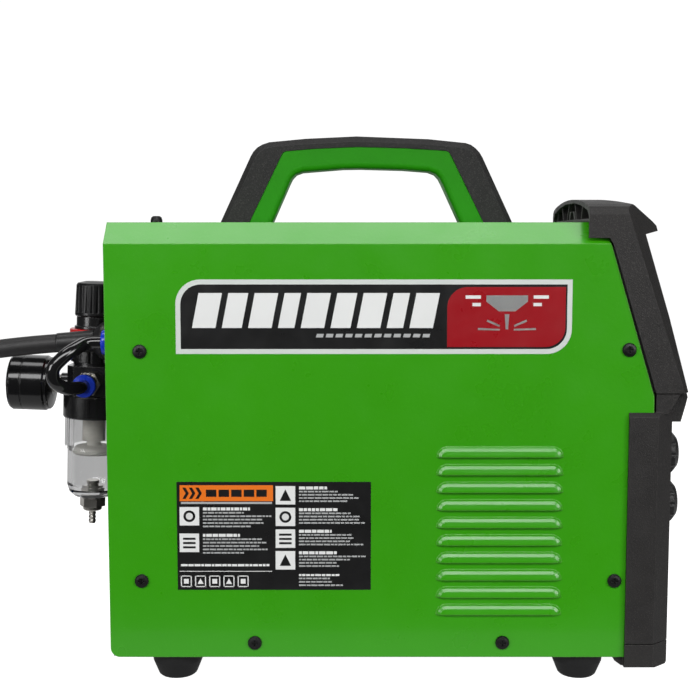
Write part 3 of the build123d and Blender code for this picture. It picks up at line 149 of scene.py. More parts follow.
def make(name, col, rough=0.5, metal=0.0, coat=0.0, coat_rough=0.08, spec=0.5, ior=1.5,
         var=0.10, var_scale=25.0, rough_var=0.08, rough_scale=60.0, grains=(), edge_wear_and_highlight=None,
         edge_r=0.0004, dust=None, brushed=None, transmission=0.0, second=None, speck=None):
    m, nt, b = node_mat(name)
    tc = nt.nodes.new("ShaderNodeTexCoord")
    vec = tc.outputs["Object"]
    geo = nt.nodes.new("ShaderNodeNewGeometry")
    lo = [max(0.0, c * (1 - var)) for c in col]
    hi = [min(1.0, c * (1 + var)) for c in col]
    f = ramp(nt, noise(nt, vec, var_scale, 4.0, 0.55), 0.3, 0.7)
    c = mix_col(nt, f, lo, hi)
    if second:
        c2, s2, amount = second
        c = mix_col(nt, math_n(nt, "MULTIPLY", ramp(nt, noise(nt, vec, s2, 5.0, 0.6), 0.45, 0.75), amount), c, c2)
    if speck:
        c3, s3, cut, amount = speck
        c = mix_col(nt, math_n(nt, "MULTIPLY", ramp(nt, noise(nt, vec, s3, 1.0, 0.5), cut, cut + 0.06), amount), c, c3)
    bev = nt.nodes.new("ShaderNodeBevel")
    bev.samples = 4
    bev.inputs["Radius"].default_value = edge_r
    rbase = noise(nt, vec, rough_scale, 3.0, 0.6)
    r = nt.nodes.new("ShaderNodeMapRange")
    nt.links.new(rbase, r.inputs[0])
    r.inputs[1].default_value, r.inputs[2].default_value = 0.25, 0.75
    r.inputs[3].default_value = max(0.02, rough - rough_var)
    r.inputs[4].default_value = min(1.0, rough + rough_var)
    rr = r.outputs[0]
    # painted highlight, partly edge wear: edges found by the bevel normal are lightened towards a paler colour
    if edge_wear_and_highlight:
        edge_highlight_col, amount = edge_wear_and_highlight
        dn = nt.nodes.new("ShaderNodeVectorMath")
        dn.operation = "DOT_PRODUCT"
        nt.links.new(bev.outputs[0], dn.inputs[0])
        nt.links.new(geo.outputs["Normal"], dn.inputs[1])
        edge_highlight_mask = math_n(nt, "SUBTRACT", 1.0, dn.outputs["Value"])
        edge_highlight_mask = ramp(nt, edge_highlight_mask, 0.01, 0.22)
        brk = ramp(nt, noise(nt, vec, 420.0, 3.0, 0.6), 0.30, 0.62)
        edge_highlight_mask = math_n(nt, "MULTIPLY", edge_highlight_mask, math_n(nt, "MULTIPLY_ADD", brk, 0.6 * amount, 0.4 * amount))
        c = mix_col(nt, edge_highlight_mask, c, edge_highlight_col)
    if dust:
        dcol, amount = dust
        up = nt.nodes.new("ShaderNodeSeparateXYZ")
        nt.links.new(geo.outputs["Normal"], up.inputs[0])
        dm = math_n(nt, "MULTIPLY", ramp(nt, up.outputs[2], 0.3, 1.0), ramp(nt, noise(nt, vec, 90.0, 4.0, 0.6), 0.35, 0.7))
        c = mix_col(nt, math_n(nt, "MULTIPLY", dm, amount), c, dcol)
    nt.links.new(c, b.inputs["Base Color"])
    nt.links.new(rr, b.inputs["Roughness"])
    normal = bev.outputs[0]
    for g in grains:
        scale, strength, dist = g[:3]
        src = stretch(nt, vec, *g[3]) if len(g) > 3 else vec
        bp = nt.nodes.new("ShaderNodeBump")
        bp.inputs["Strength"].default_value = strength
        bp.inputs["Distance"].default_value = dist
        nt.links.new(noise(nt, src, scale, 2.0, 0.5), bp.inputs["Height"])
        nt.links.new(normal, bp.inputs["Normal"])
        normal = bp.outputs[0]
    nt.links.new(normal, b.inputs["Normal"])
    b.inputs["Metallic"].default_value = metal
    b.inputs["IOR"].default_value = ior
    b.inputs["Specular IOR Level"].default_value = spec
    b.inputs["Coat Weight"].default_value = coat
    b.inputs["Coat Roughness"].default_value = coat_rough
    b.inputs["Transmission Weight"].default_value = transmission
    m.diffuse_color = (*col, 1)
    return m


M = {}
# powder coat: glossy with the fine ripple of orange peel and tiny pinholes; the pale green on its edges is a painted
# highlight along the folds
M["green"] = make("green_powder", (0.033, 0.308, 0.0012), rough=0.30, coat=0.40, coat_rough=0.10, var=0.035, var_scale=9,
                  rough_var=0.05, rough_scale=35, grains=[(330, 0.13, 0.0006), (1500, 0.08, 0.0002)],
                  edge_wear_and_highlight=((0.30, 0.66, 0.16), 0.60), edge_r=0.0012, speck=((0.07, 0.39, 0.02), 900, 0.70, 0.4))
M["black_paint"] = make("black_powder", (0.012, 0.012, 0.012), rough=0.45, var=0.2, grains=[(700, 0.35, 0.0005)], edge_wear_and_highlight=((0.08, 0.08, 0.08), 0.5))
M["bezel"] = make("bezel_plastic", (0.0185, 0.0173, 0.017), rough=0.52, spec=0.28, var=0.14, var_scale=60, rough_var=0.08,
                  grains=[(1300, 0.65, 0.00045), (420, 0.25, 0.0004)], edge_wear_and_highlight=((0.10, 0.095, 0.09), 0.7), edge_r=0.0008,
                  speck=((0.06, 0.055, 0.052), 1500, 0.60, 0.6))
M["handle"] = make("handle_plastic", (0.022, 0.0215, 0.0215), rough=0.60, spec=0.16, var=0.14, var_scale=60, rough_var=0.08,
                   grains=[(1300, 0.6, 0.00045), (420, 0.25, 0.0004)], edge_wear_and_highlight=((0.11, 0.11, 0.11), 0.7), edge_r=0.0008,
                   speck=((0.06, 0.058, 0.056), 1500, 0.60, 0.6))
M["insert"] = make("handle_green", (0.016, 0.225, 0.002), rough=0.52, spec=0.16, var=0.05, var_scale=30, grains=[(900, 0.25, 0.0003)],
                   edge_wear_and_highlight=((0.16, 0.45, 0.09), 0.4), edge_r=0.0006)
M["rubber"] = make("foot_rubber", (0.009, 0.009, 0.0095), rough=0.62, spec=0.3, var=0.2, grains=[(900, 0.4, 0.0004)], edge_wear_and_highlight=((0.06, 0.06, 0.06), 0.5),
                   dust=((0.2, 0.19, 0.18), 0.04))
M["screw"] = make("black_oxide", (0.006, 0.006, 0.0065), rough=0.42, metal=0.35, var=0.25, var_scale=300, grains=[(1200, 0.3, 0.0003)],
                  edge_wear_and_highlight=((0.05, 0.05, 0.05), 0.6), edge_r=0.0003)
M["zinc"] = make("zinc_steel", (0.62, 0.62, 0.60), rough=0.33, metal=1.0, var=0.10, var_scale=180, grains=[(900, 0.12, 0.0002)],
                 edge_wear_and_highlight=((0.8, 0.8, 0.78), 0.5), edge_r=0.0003, second=((0.52, 0.53, 0.50), 260, 0.5))
M["galv"] = make("galvanised_steel", (0.50, 0.51, 0.50), rough=0.42, metal=1.0, var=0.15, var_scale=140, grains=[(500, 0.15, 0.0003)],
                 second=((0.40, 0.41, 0.41), 220, 0.6))
M["overlay"] = make("overlay_film", (0.018, 0.018, 0.020), rough=0.38, coat=0.25, coat_rough=0.2, var=0.08, grains=[(2600, 0.12, 0.0002)], edge_r=0.0002)
M["display"] = make("display_acrylic", (0.010, 0.004, 0.004), rough=0.09, coat=0.6, coat_rough=0.03, var=0.2, var_scale=40, rough_var=0.03, edge_r=0.0002)
M["lens_green"] = make("indicator_lens", (0.30, 0.42, 0.10), rough=0.16, coat=0.7, coat_rough=0.05, var=0.12, var_scale=600, edge_r=0.0002)
M["pcb"] = make("circuit_board", (0.012, 0.11, 0.035), rough=0.35, coat=0.4, coat_rough=0.12, var=0.12, var_scale=200,
                second=((0.03, 0.17, 0.06), 500, 0.6), speck=((0.65, 0.62, 0.5), 420, 0.68, 0.9))
M["knob"] = make("knob_plastic", (0.022, 0.022, 0.023), rough=0.46, var=0.15, grains=[(1500, 0.45, 0.0003)], edge_wear_and_highlight=((0.10, 0.10, 0.10), 0.6), edge_r=0.0004)
M["button"] = make("button_plastic", (0.16, 0.16, 0.165), rough=0.42, var=0.06, grains=[(1500, 0.25, 0.0002)], edge_wear_and_highlight=((0.35, 0.35, 0.35), 0.5), edge_r=0.0003)
M["brass"] = make("machined_brass", (0.72, 0.52, 0.22), rough=0.26, metal=1.0, var=0.08, var_scale=120, grains=[(700, 0.12, 0.0002)],
                  second=((0.55, 0.37, 0.14), 260, 0.5), edge_wear_and_highlight=((0.85, 0.70, 0.40), 0.5), edge_r=0.0003)
M["socket"] = make("socket_nylon", (0.011, 0.011, 0.0115), rough=0.44, var=0.15, grains=[(1400, 0.4, 0.0003)], edge_wear_and_highlight=((0.10, 0.10, 0.10), 0.6), edge_r=0.0006)
M["fan"] = make("fan_plastic", (0.012, 0.012, 0.0125), rough=0.40, var=0.15, grains=[(900, 0.25, 0.0003)], edge_wear_and_highlight=((0.06, 0.06, 0.06), 0.5), edge_r=0.0005)
M["switch"] = make("switch_plastic", (0.010, 0.010, 0.011), rough=0.24, coat=0.3, var=0.12, grains=[(700, 0.12, 0.0002)], edge_wear_and_highlight=((0.07, 0.07, 0.07), 0.5), edge_r=0.0004)
M["gland"] = make("gland_nylon", (0.013, 0.013, 0.0135), rough=0.38, var=0.15, grains=[(900, 0.25, 0.0003)], edge_wear_and_highlight=((0.07, 0.07, 0.07), 0.5), edge_r=0.0004)
M["cable"] = make("cable_rubber", (0.0135, 0.013, 0.0135), rough=0.50, var=0.16, var_scale=90, rough_var=0.07,
                  grains=[(1600, 0.3, 0.0003), (260, 0.15, 0.0006)], second=((0.024, 0.023, 0.023), 160, 0.5), edge_r=0.0002)
M["plug"] = make("plug_blue", (0.012, 0.075, 0.36), rough=0.42, var=0.07, grains=[(1200, 0.3, 0.0003)], edge_wear_and_highlight=((0.10, 0.22, 0.55), 0.5), edge_r=0.0006)
M["plug_black"] = make("plug_gland", (0.014, 0.014, 0.015), rough=0.45, var=0.12, grains=[(1200, 0.3, 0.0003)], edge_r=0.0005)
M["frl"] = make("regulator_black", (0.0065, 0.0065, 0.007), rough=0.24, coat=0.45, coat_rough=0.10, var=0.15, rough_var=0.06,
                grains=[(420, 0.18, 0.0004)], edge_wear_and_highlight=((0.06, 0.06, 0.06), 0.55), edge_r=0.0006)
M["frl_knob"] = make("regulator_knob", (0.006, 0.006, 0.0065), rough=0.34, spec=0.3, coat=0.06, var=0.15, grains=[(900, 0.2, 0.0003)],
                     edge_wear_and_highlight=((0.07, 0.07, 0.07), 0.55), edge_r=0.0005)
M["red"] = make("red_plastic", (0.60, 0.006, 0.010), rough=0.30, coat=0.3, var=0.08, grains=[(900, 0.12, 0.0002)], edge_wear_and_highlight=((0.80, 0.10, 0.10), 0.4), edge_r=0.0004)
M["white"] = make("white_plastic", (0.72, 0.71, 0.66), rough=0.50, var=0.05, var_scale=70, grains=[(1100, 0.3, 0.0003)], second=((0.62, 0.60, 0.52), 90, 0.35), edge_r=0.0005)
M["sinter"] = make("sintered_filter", (0.66, 0.64, 0.58), rough=0.8, var=0.12, var_scale=900, grains=[(1700, 0.9, 0.0005)], edge_r=0.0004)
M["nickel"] = make("nickel_brass", (0.62, 0.60, 0.56), rough=0.22, metal=1.0, var=0.08, var_scale=160, grains=[(700, 0.1, 0.0002)],
                   second=((0.48, 0.44, 0.36), 260, 0.45), edge_wear_and_highlight=((0.85, 0.83, 0.78), 0.5), edge_r=0.00035)
M["gauge"] = make("gauge_black", (0.004, 0.004, 0.0045), rough=0.15, coat=0.25, coat_rough=0.05, var=0.2, rough_var=0.04, grains=[(200, 0.05, 0.0004)],
                  edge_wear_and_highlight=((0.08, 0.08, 0.08), 0.5), edge_r=0.0006)
M["dial"] = make("dial_white", (0.80, 0.80, 0.78), rough=0.55, var=0.03, grains=[(2000, 0.1, 0.0001)], edge_r=0.0002)
M["needle"] = make("needle_red", (0.55, 0.015, 0.01), rough=0.4, var=0.08, edge_r=0.0002)
M["ink"] = make("printed_ink", (0.010, 0.010, 0.010), rough=0.45, var=0.15, var_scale=300, edge_r=0.0001)
M["collet"] = make("collet_blue", (0.006, 0.040, 0.56), rough=0.28, coat=0.3, var=0.08, grains=[(900, 0.15, 0.0002)], edge_wear_and_highlight=((0.10, 0.22, 0.80), 0.5), edge_r=0.0005)
M["hose"] = make("hose_polyurethane", (0.006, 0.006, 0.0065), rough=0.12, coat=0.6, coat_rough=0.04, var=0.2, var_scale=80, rough_var=0.04,
                 grains=[(160, 0.10, 0.0005)], edge_r=0.0002)
M["alu"] = make("extruded_aluminium", (0.60, 0.61, 0.62), rough=0.38, metal=1.0, var=0.06, grains=[(120, 0.25, 0.0003, (60, 1, 1))], edge_r=0.0004)
M["ferrite"] = make("ferrite_core", (0.035, 0.035, 0.037), rough=0.55, var=0.2, grains=[(900, 0.5, 0.0004)], second=((0.30, 0.13, 0.03), 60, 0.5), edge_r=0.0006)
M["cap"] = make("capacitor_sleeve", (0.010, 0.018, 0.060), rough=0.25, coat=0.4, var=0.12, second=((0.5, 0.5, 0.5), 45, 0.25), edge_r=0.0006)

SLOT = {
    "green_paint": "green", "black_paint": "black_paint", "bezel_plastic": "bezel", "handle_black": "handle", "handle_green": "insert",
    "foot_rubber": "rubber", "screw_black": "screw", "zinc": "zinc", "galvanised": "galv", "overlay": "overlay", "display": "display",
    "lens": "lens_green", "pcb": "pcb", "knob_plastic": "knob", "button_plastic": "button", "brass": "brass", "socket_black": "socket",
    "fan_black": "fan", "switch_black": "switch", "gland_black": "gland", "cable_rubber": "cable", "plug_blue": "plug",
    "regulator_black": "frl", "red_plastic": "red", "clear_bowl": "bowl", "white_plastic": "white", "nickel": "nickel",
    "gauge_black": "gauge", "gauge_glass": "glass", "dial_white": "dial", "needle_red": "needle", "collet_blue": "collet",
    "hose_black": "hose", "aluminium": "alu", "ferrite": "ferrite", "capacitor": "cap",
}


def glassy(name, col, rough, ior, scratch=0.06, strength=0.12):
    m, nt, b = node_mat(name)
    tc = nt.nodes.new("ShaderNodeTexCoord")
    vec = tc.outputs["Object"]
    c = mix_col(nt, ramp(nt, noise(nt, vec, 60, 4, 0.6), 0.35, 0.7), col, [min(1, x * 1.05) for x in col])
    nt.links.new(c, b.inputs["Base Color"])
    r = nt.nodes.new("ShaderNodeMapRange")
    nt.links.new(noise(nt, stretch(nt, vec, 1, 1, 0.2), 500, 4, 0.7), r.inputs[0])
    r.inputs[1].default_value, r.inputs[2].default_value = 0.55, 0.8
    r.inputs[3].default_value, r.inputs[4].default_value = rough, rough + scratch
    nt.links.new(r.outputs[0], b.inputs["Roughness"])
    bp = nt.nodes.new("ShaderNodeBump")
    bp.inputs["Strength"].default_value = strength
    bp.inputs["Distance"].default_value = 0.0003
    nt.links.new(noise(nt, vec, 90, 2, 0.5), bp.inputs["Height"])
    nt.links.new(bp.outputs[0], b.inputs["Normal"])
    b.inputs["IOR"].default_value = ior
    b.inputs["Transmission Weight"].default_value = 1.0
    return m


M["bowl"] = glassy("clear_polycarbonate", (0.985, 0.986, 0.99), 0.02, 1.50)
M["glass"] = glassy("gauge_lens_clear", (0.97, 0.975, 0.97), 0.01, 1.47, 0.03, 0.03)

for s in frame["record"]["subparts"]:
    ob = N[s["node"]]
    ob.data.materials.clear()
    ob.data.materials.append(M[SLOT[s["material_slot"]]])
for n, key in (("filter_element", "sinter"), ("regulator_knob", "frl_knob"), ("regulator_bonnet", "frl")):
    N[n].data.materials.clear()
    N[n].data.materials.append(M[key])

# ---------------------------------------------------------------- mains lead: one free cord
CORD_D = 0.0142
ROUTE = [(-195.4, -26, 251.2), (-258, -26.8, 248.2), (-325, -31, 234.5), (-368, -44, 172), (-388, -61, 104),
         (-421, -76, 50), (-488, -84, 22), (-547, -84, 22)]
COIL_X, R_OUT, R_IN, Z_TOP, Z_LOW = -600.0, 84.0, 70.0, 22.0, 7.6
pts = [P(*p) for p in ROUTE]
CORNERS = [(R_OUT, Z_TOP), (R_IN, Z_TOP), (R_IN, Z_LOW), (R_OUT, Z_LOW)]
RM, ZM = (R_OUT + R_IN) / 2, (Z_TOP + Z_LOW) / 2
GROW = 1.0 / math.cos(math.radians(7.5)) * 0.9975
STEP = 15.0
th = 0.0
while th <= 1260.001:
    k, a = divmod(th, 360.0)
    k = int(k)
    if a <= 90.0:
        i, t = k, 0.0
    elif a <= 180.0:
        i, t = k, (a - 90.0) / 90.0
    else:
        i, t = k + 1, 0.0
    t = t * t * (3 - 2 * t)
    r0, z0 = CORNERS[i % 4]
    r1, z1 = CORNERS[(i + 1) % 4]
    a0 = math.atan2(z0 - ZM, r0 - RM)
    h0 = math.hypot(r0 - RM, z0 - ZM)
    if t > 0:
        a1 = math.atan2(z1 - ZM, r1 - RM)
        while a1 < a0:
            a1 += 2 * math.pi
        ang = a0 + (a1 - a0) * t
        half = h0 + 0.35 * math.sin(math.pi * t)
        r, z = RM + half * math.cos(ang), ZM + half * math.sin(ang) + 3.2 * math.sin(math.pi * t)
    else:
        r, z = r0, z0
    phi = math.radians(-90.0 - th)
    pts.append(P(COIL_X + r * GROW * math.cos(phi), r * GROW * math.sin(phi), z))
    th += STEP
pts.append(P(-572, R_OUT, Z_TOP))
pts.append(P(-538, R_OUT, Z_TOP))

cu = bpy.data.curves.new("mains_lead", "CURVE")
cu.dimensions = "3D"
cu.resolution_u = 10
cu.bevel_depth = CORD_D / 2
cu.bevel_resolution = 8
cu.use_fill_caps = True
sp = cu.splines.new("NURBS")
sp.points.add(len(pts) - 1)
for q, p in zip(sp.points, pts):
    q.co = (*p, 1)
sp.order_u = 3
sp.use_endpoint_u = True
lead = bpy.data.objects.new("mains_lead", cu)
sc.collection.objects.link(lead)
cu.materials.append(M["cable"])
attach(lead, "chassis")
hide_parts("mains_cable", "mains_coil")


# ---------------------------------------------------------------- mesh helpers
def add_mesh(name, bm, mats, body="chassis", smooth=False, loc=None):
    me = bpy.data.meshes.new(name)
    bm.normal_update()
    bm.to_mesh(me)
    bm.free()
    for mt in (mats if isinstance(mats, (list, tuple)) else [mats]):
        me.materials.append(mt)
    if smooth:
        for p in me.polygons:
            p.use_smooth = True
    ob = bpy.data.objects.new(name, me)
    sc.collection.objects.link(ob)
    if loc is not None:
        ob.location = loc
    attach(ob, body)
    return ob


def revolve(bm, prof, origin, axis, seg=48, mat=0):
    """lathe a closed profile of (radius, height) pairs"""
    z = Vector(axis).normalized()
    x = z.orthogonal().normalized()
    y = z.cross(x)
    rings = []
    for r, h in prof:
        if r < 1e-6:
            rings.append([bm.verts.new(origin + z * h)])
        else:
            rings.append([bm.verts.new(origin + z * h + (x * math.cos(2 * math.pi * i / seg) + y * math.sin(2 * math.pi * i / seg)) * r)
                          for i in range(seg)])
    for a, b in zip(rings[:-1], rings[1:]):
        for i in range(seg):
            j = (i + 1) % seg
            if len(a) == 1 and len(b) == 1:
                continue
            if len(a) == 1:
                f = bm.faces.new((a[0], b[i], b[j]))
            elif len(b) == 1:
                f = bm.faces.new((a[i], b[0], a[j]))
            else:
                f = bm.faces.new((a[i], b[i], b[j], a[j]))
            f.material_index = mat
            f.smooth = True
    return rings


def plate(bm, poly, place, w0, w1, mat):
    """extrude a flat outline; place(u, v, w) gives the point in metres"""
    lo = [bm.verts.new(place(u, v, w0)) for u, v in poly]
    hi = [bm.verts.new(place(u, v, w1)) for u, v in poly]
    n = len(poly)
    for i in range(n):
        j = (i + 1) % n
        f = bm.faces.new((lo[i], lo[j], hi[j], hi[i]))
        f.material_index = mat
    f = bm.faces.new(hi)
    f.material_index = mat
    f = bm.faces.new(list(reversed(lo)))
    f.material_index = mat


def rounded(x0, x1, z0, z1, r=(0, 0, 0, 0), seg=10):
    """outline with corner radii: bottom-left, bottom-right, top-right, top-left"""
    out = []
    corners = [(x0, z0, 180, r[0], 1, 1), (x1, z0, 270, r[1], -1, 1), (x1, z1, 0, r[2], -1, -1), (x0, z1, 90, r[3], 1, -1)]
    for cx, cz, start, rr, sx, sz in corners:
        if rr <= 0:
            out.append((cx, cz))
            continue
        ox, oz = cx + sx * rr, cz + sz * rr
        for i in range(seg + 1):
            a = math.radians(start + 90 * i / seg)
            out.append((ox + rr * math.cos(a), oz + rr * math.sin(a)))
    return out


def side(u, v, w):
    """point on the case's near side: w outwards"""
    return P(u, -75.0 - w, v)


# ---------------------------------------------------------------- side badge: plain graphic, no lettering
M["vinyl_border"] = make("vinyl_border", (0.62, 0.66, 0.63), rough=0.35, coat=0.3, coat_rough=0.15, var=0.03, grains=[(700, 0.08, 0.0002)], edge_r=0.0001)
M["vinyl_black"] = make("vinyl_black", (0.0075, 0.0075, 0.0078), rough=0.32, coat=0.3, coat_rough=0.15, var=0.12, grains=[(700, 0.08, 0.0002)], edge_r=0.0001)
M["vinyl_red"] = make("vinyl_red", (0.30, 0.004, 0.009), rough=0.32, coat=0.3, coat_rough=0.15, var=0.05, grains=[(700, 0.08, 0.0002)], edge_r=0.0001)
M["vinyl_white"] = make("vinyl_white", (0.76, 0.77, 0.76), rough=0.35, coat=0.2, var=0.02, grains=[(700, 0.08, 0.0002)], edge_r=0.0001)
M["vinyl_grey"] = make("vinyl_grey", (0.40, 0.41, 0.41), rough=0.4, coat=0.2, var=0.04, grains=[(700, 0.08, 0.0002)], edge_r=0.0001)
M["vinyl_orange"] = make("vinyl_orange", (0.78, 0.17, 0.012), rough=0.36, coat=0.2, var=0.03, grains=[(700, 0.08, 0.0002)], edge_r=0.0001)
BX0, BX1, BZ0, BZ1 = -126.0, 160.3, 246.0, 299.9
bm = bmesh.new()
plate(bm, rounded(BX0, BX1, BZ0, BZ1, (0, 18, 0, 18)), side, 0.01, 0.22, 0)
plate(bm, rounded(BX0 + 3.6, BX1 - 3.6, BZ0 + 3.6, BZ1 - 3.6, (0, 14.6, 0, 14.6)), side, 0.2, 0.25, 1)


def px_to_side(px, py):
    """where a sight line of the main view meets the near side of the case"""
    cy, sy = math.cos(math.radians(5.436)), math.sin(math.radians(5.436))
    dx, dz = (px - 350) / 1180.0, (350 - py) / 1180.0
    d = Vector((dx, cy + dz * sy, -sy + dz * cy))
    t = (-0.075 + 0.9253) / d.y
    x, z = SX / 1000 + d.x * t, 0.3298 + d.z * t
    return x * 1000 - SX, z * 1000


# red field
r0, r1 = px_to_side(447, 347), px_to_side(566, 287)
plate(bm, rounded(r0[0], r1[0], r0[1], r1[1], (0, 14.0, 0, 14.5)), side, 0.24, 0.28, 2)
# slanted light bars in place of a name
x_a, z_a = px_to_side(192, 328)
x_b, z_b = px_to_side(440, 293)
SL = 5.0
bars = [20, 17, 20, 14, 20, 17, 20, 14, 20]
gap = 4.6
unit = (x_b - x_a - SL - gap * (len(bars) - 1)) / sum(bars)
u = x_a
for i, wdt in enumerate(bars):
    ww = wdt * unit
    plate(bm, [(u, z_a), (u + ww, z_a), (u + ww + SL, z_b), (u + SL, z_b)], side, 0.24, 0.27, 3)
    u += ww + gap
# thin rule under the bars
s0, s1 = px_to_side(316, 339), px_to_side(432, 333)
for i in range(12):
    a = s0[0] + (s1[0] - s0[0]) * i / 12
    b = a + (s1[0] - s0[0]) / 12 * 0.72
    plate(bm, [(a, s0[1] + 1.2), (b, s0[1] + 1.2), (b + 0.7, s1[1] - 0.6), (a + 0.7, s1[1] - 0.6)], side, 0.24, 0.27, 4)
# plain cutting-jet symbol in the red field: nozzle cone, jet and sparks
cx, cz = px_to_side(507, 312)


def poly_at(pts_, w0=0.27, w1=0.30, mt=3):
    plate(bm, [(cx + a, cz + b) for a, b in pts_], side, w0, w1, mt)


poly_at([(-15, 12), (15, 12), (15, 7.5), (6.0, 0.5), (-6.0, 0.5), (-15, 7.5)])
poly_at([(-1.7, -1.5), (1.7, -1.5), (0.9, -12.5), (-0.9, -12.5)])
for sgn in (-1, 1):
    poly_at([(sgn * 5.0, -9.5), (sgn * 14.0, -5.4), (sgn * 14.7, -6.9), (sgn * 5.4, -10.9)][::sgn])
    poly_at([(sgn * 5.0, -12.2), (sgn * 21.0, -11.5), (sgn * 21.0, -13.1), (sgn * 5.0, -13.4)][::sgn])
    poly_at([(sgn * 19.0, 12), (sgn * 30.0, 12), (sgn * 30.0, 9.6), (sgn * 19.0, 9.6)][::-sgn], mt=3)
    poly_at([(sgn * 19.0, 6.6), (sgn * 25.0, 6.6), (sgn * 25.0, 4.2), (sgn * 19.0, 4.2)][::-sgn], mt=3)
badge = add_mesh("side_badge", bm, [M["vinyl_border"], M["vinyl_black"], M["vinyl_red"], M["vinyl_white"], M["vinyl_grey"]])

# ---------------------------------------------------------------- rating label: plain blocks, no lettering
bm = bmesh.new()
LX0_, LX1_, LZ0_, LZ1_ = -127.0, 15.3, 71.1, 152.0
plate(bm, rounded(LX0_, LX1_, LZ0_, LZ1_, (0.6, 0.6, 0.6, 0.6), 4), side, 0.01, 0.16, 0)


def lab(px0, py0, px1, py1, mt, w0=0.155, w1=0.185):
    a, b = px_to_side(px0, py1), px_to_side(px1, py0)
    plate(bm, [(a[0], a[1]), (b[0], a[1]), (b[0], b[1]), (a[0], b[1])], side, w0, w1, mt)


lab(179.8, 485.2, 273.0, 501.1, 1)
# generic mark in the header: three plain chevrons and bars
for i in range(3):
    a = px_to_side(184 + i * 6.5, 493.2)
    plate(bm, [(a[0] - 1.2, a[1] - 4.2), (a[0] + 1.2, a[1] - 4.2), (a[0] + 3.6, a[1]), (a[0] + 1.2, a[1] + 4.2), (a[0] - 1.2, a[1] + 4.2), (a[0] + 1.2, a[1])],
          side, 0.18, 0.21, 0)
for i in range(5):
    lab(206 + i * 12.6, 489.6, 216.4 + i * 12.6, 496.8, 0, 0.18, 0.21)
for (ax, ay, bx, by) in ((179.8, 507, 199.1, 525.4), (179.8, 533.5, 199.1, 552), (275.7, 486, 295.2, 504.4), (275.7, 507.7, 295.2, 526),
                         (275.7, 529.3, 295.2, 547.8), (275.7, 551, 295.2, 569.5)):
    lab(ax, ay, bx, by, 2)
icons = [(189.4, 516.2), (189.4, 542.7), (285.4, 495.2), (285.4, 516.9), (285.4, 538.6), (285.4, 560.2)]
for i, (ax, ay) in enumerate(icons):
    c0 = px_to_side(ax, ay)
    if i % 3 == 0:
        ring_ = [(c0[0] + 4.4 * math.cos(math.radians(t)), c0[1] + 4.4 * math.sin(math.radians(t))) for t in range(0, 360, 20)]
        plate(bm, ring_, side, 0.18, 0.205, 0)
        ring_ = [(c0[0] + 2.6 * math.cos(math.radians(t)), c0[1] + 2.6 * math.sin(math.radians(t))) for t in range(0, 360, 20)]
        plate(bm, ring_, side, 0.20, 0.22, 2)
    elif i % 3 == 1:
        for k in range(3):
            plate(bm, [(c0[0] - 4.6, c0[1] - 4.2 + 3.2 * k), (c0[0] + 4.6, c0[1] - 4.2 + 3.2 * k), (c0[0] + 4.6, c0[1] - 2.6 + 3.2 * k), (c0[0] - 4.6, c0[1] - 2.6 + 3.2 * k)],
                  side, 0.18, 0.205, 0)
    else:
        plate(bm, [(c0[0] - 4.2, c0[1] - 4.2), (c0[0] + 4.2, c0[1] - 4.2), (c0[0], c0[1] + 4.4)], side, 0.18, 0.205, 0)
import random

rnd = random.Random(7)


def lines(px0, px1, tops, height, fill, mt=3):
    for t in tops:
        end = px0 + (px1 - px0) * fill(rnd)
        x = px0
        while x < end - 1.5:
            w = rnd.uniform(2.2, 7.0)
            lab(x, t, min(x + w, end), t + height, mt)
            x += w + 0.8


lab(181, 501.9, 272, 503.9, 3)
for a in (507.4, 533.8):
    lines(203, 250 if a < 520 else 240, [a], 3.0, lambda r: 1.0, 2)
    lines(203, 272, [a + 4.6, a + 8.0, a + 11.4, a + 14.8, a + 18.2], 1.5, lambda r: r.uniform(0.55, 1.0))
for a in (486.4, 508.1, 529.7, 551.2):
    lines(299, 338, [a], 3.0, lambda r: r.uniform(0.7, 1.0), 2)
    lines(299, 367, [a + 4.4, a + 7.6, a + 10.8, a + 14.0], 1.5, lambda r: r.uniform(0.55, 1.0))
lab(179.8, 570.9, 272.5, 571.5, 2)
lines(181, 270, [564.0], 2.2, lambda r: 1.0, 2)
# bottom strip: plain outlined shapes
for i in range(5):
    a0_ = 181.0 + i * 14.2
    lab(a0_, 575.5, a0_ + 10.8, 576.4, 2)
    lab(a0_, 586.0, a0_ + 10.8, 586.9, 2)
    lab(a0_, 575.5, a0_ + 0.9, 586.9, 2)
    lab(a0_ + 9.9, 575.5, a0_ + 10.8, 586.9, 2)
    c0 = px_to_side(a0_ + 5.4, 581.2)
    if i % 2 == 0:
        plate(bm, [(c0[0] - 1.8, c0[1] - 1.8), (c0[0] + 1.8, c0[1] - 1.8), (c0[0] + 1.8, c0[1] + 1.8), (c0[0] - 1.8, c0[1] + 1.8)], side, 0.155, 0.185, 2)
    else:
        plate(bm, [(c0[0] - 2.2, c0[1] - 2.0), (c0[0] + 2.2, c0[1] - 2.0), (c0[0], c0[1] + 2.2)], side, 0.155, 0.185, 2)
lines(299, 340, [574.0], 2.0, lambda r: 1.0, 2)
lines(299, 350, [577.6, 581.0, 584.4], 1.5, lambda r: r.uniform(0.6, 1.0))
label = add_mesh("rating_label", bm, [M["vinyl_black"], M["vinyl_orange"], M["vinyl_white"], M["vinyl_grey"]])

# ---------------------------------------------------------------- control panel print
FA, FB = (248.4, 213.3), (216.4, 332.5)
LL = math.hypot(FB[0] - FA[0], FB[1] - FA[1])
UP = ((FB[0] - FA[0]) / LL, (FB[1] - FA[1]) / LL)
NN = (UP[1], -UP[0])
PC = ((FA[0] + FB[0]) / 2 - NN[0] * 8.0, (FA[1] + FB[1]) / 2 - NN[1] * 8.0)


def panel(u, v, w):
    return P(PC[0] + UP[0] * v + NN[0] * w, u, PC[1] + UP[1] * v + NN[1] * w)


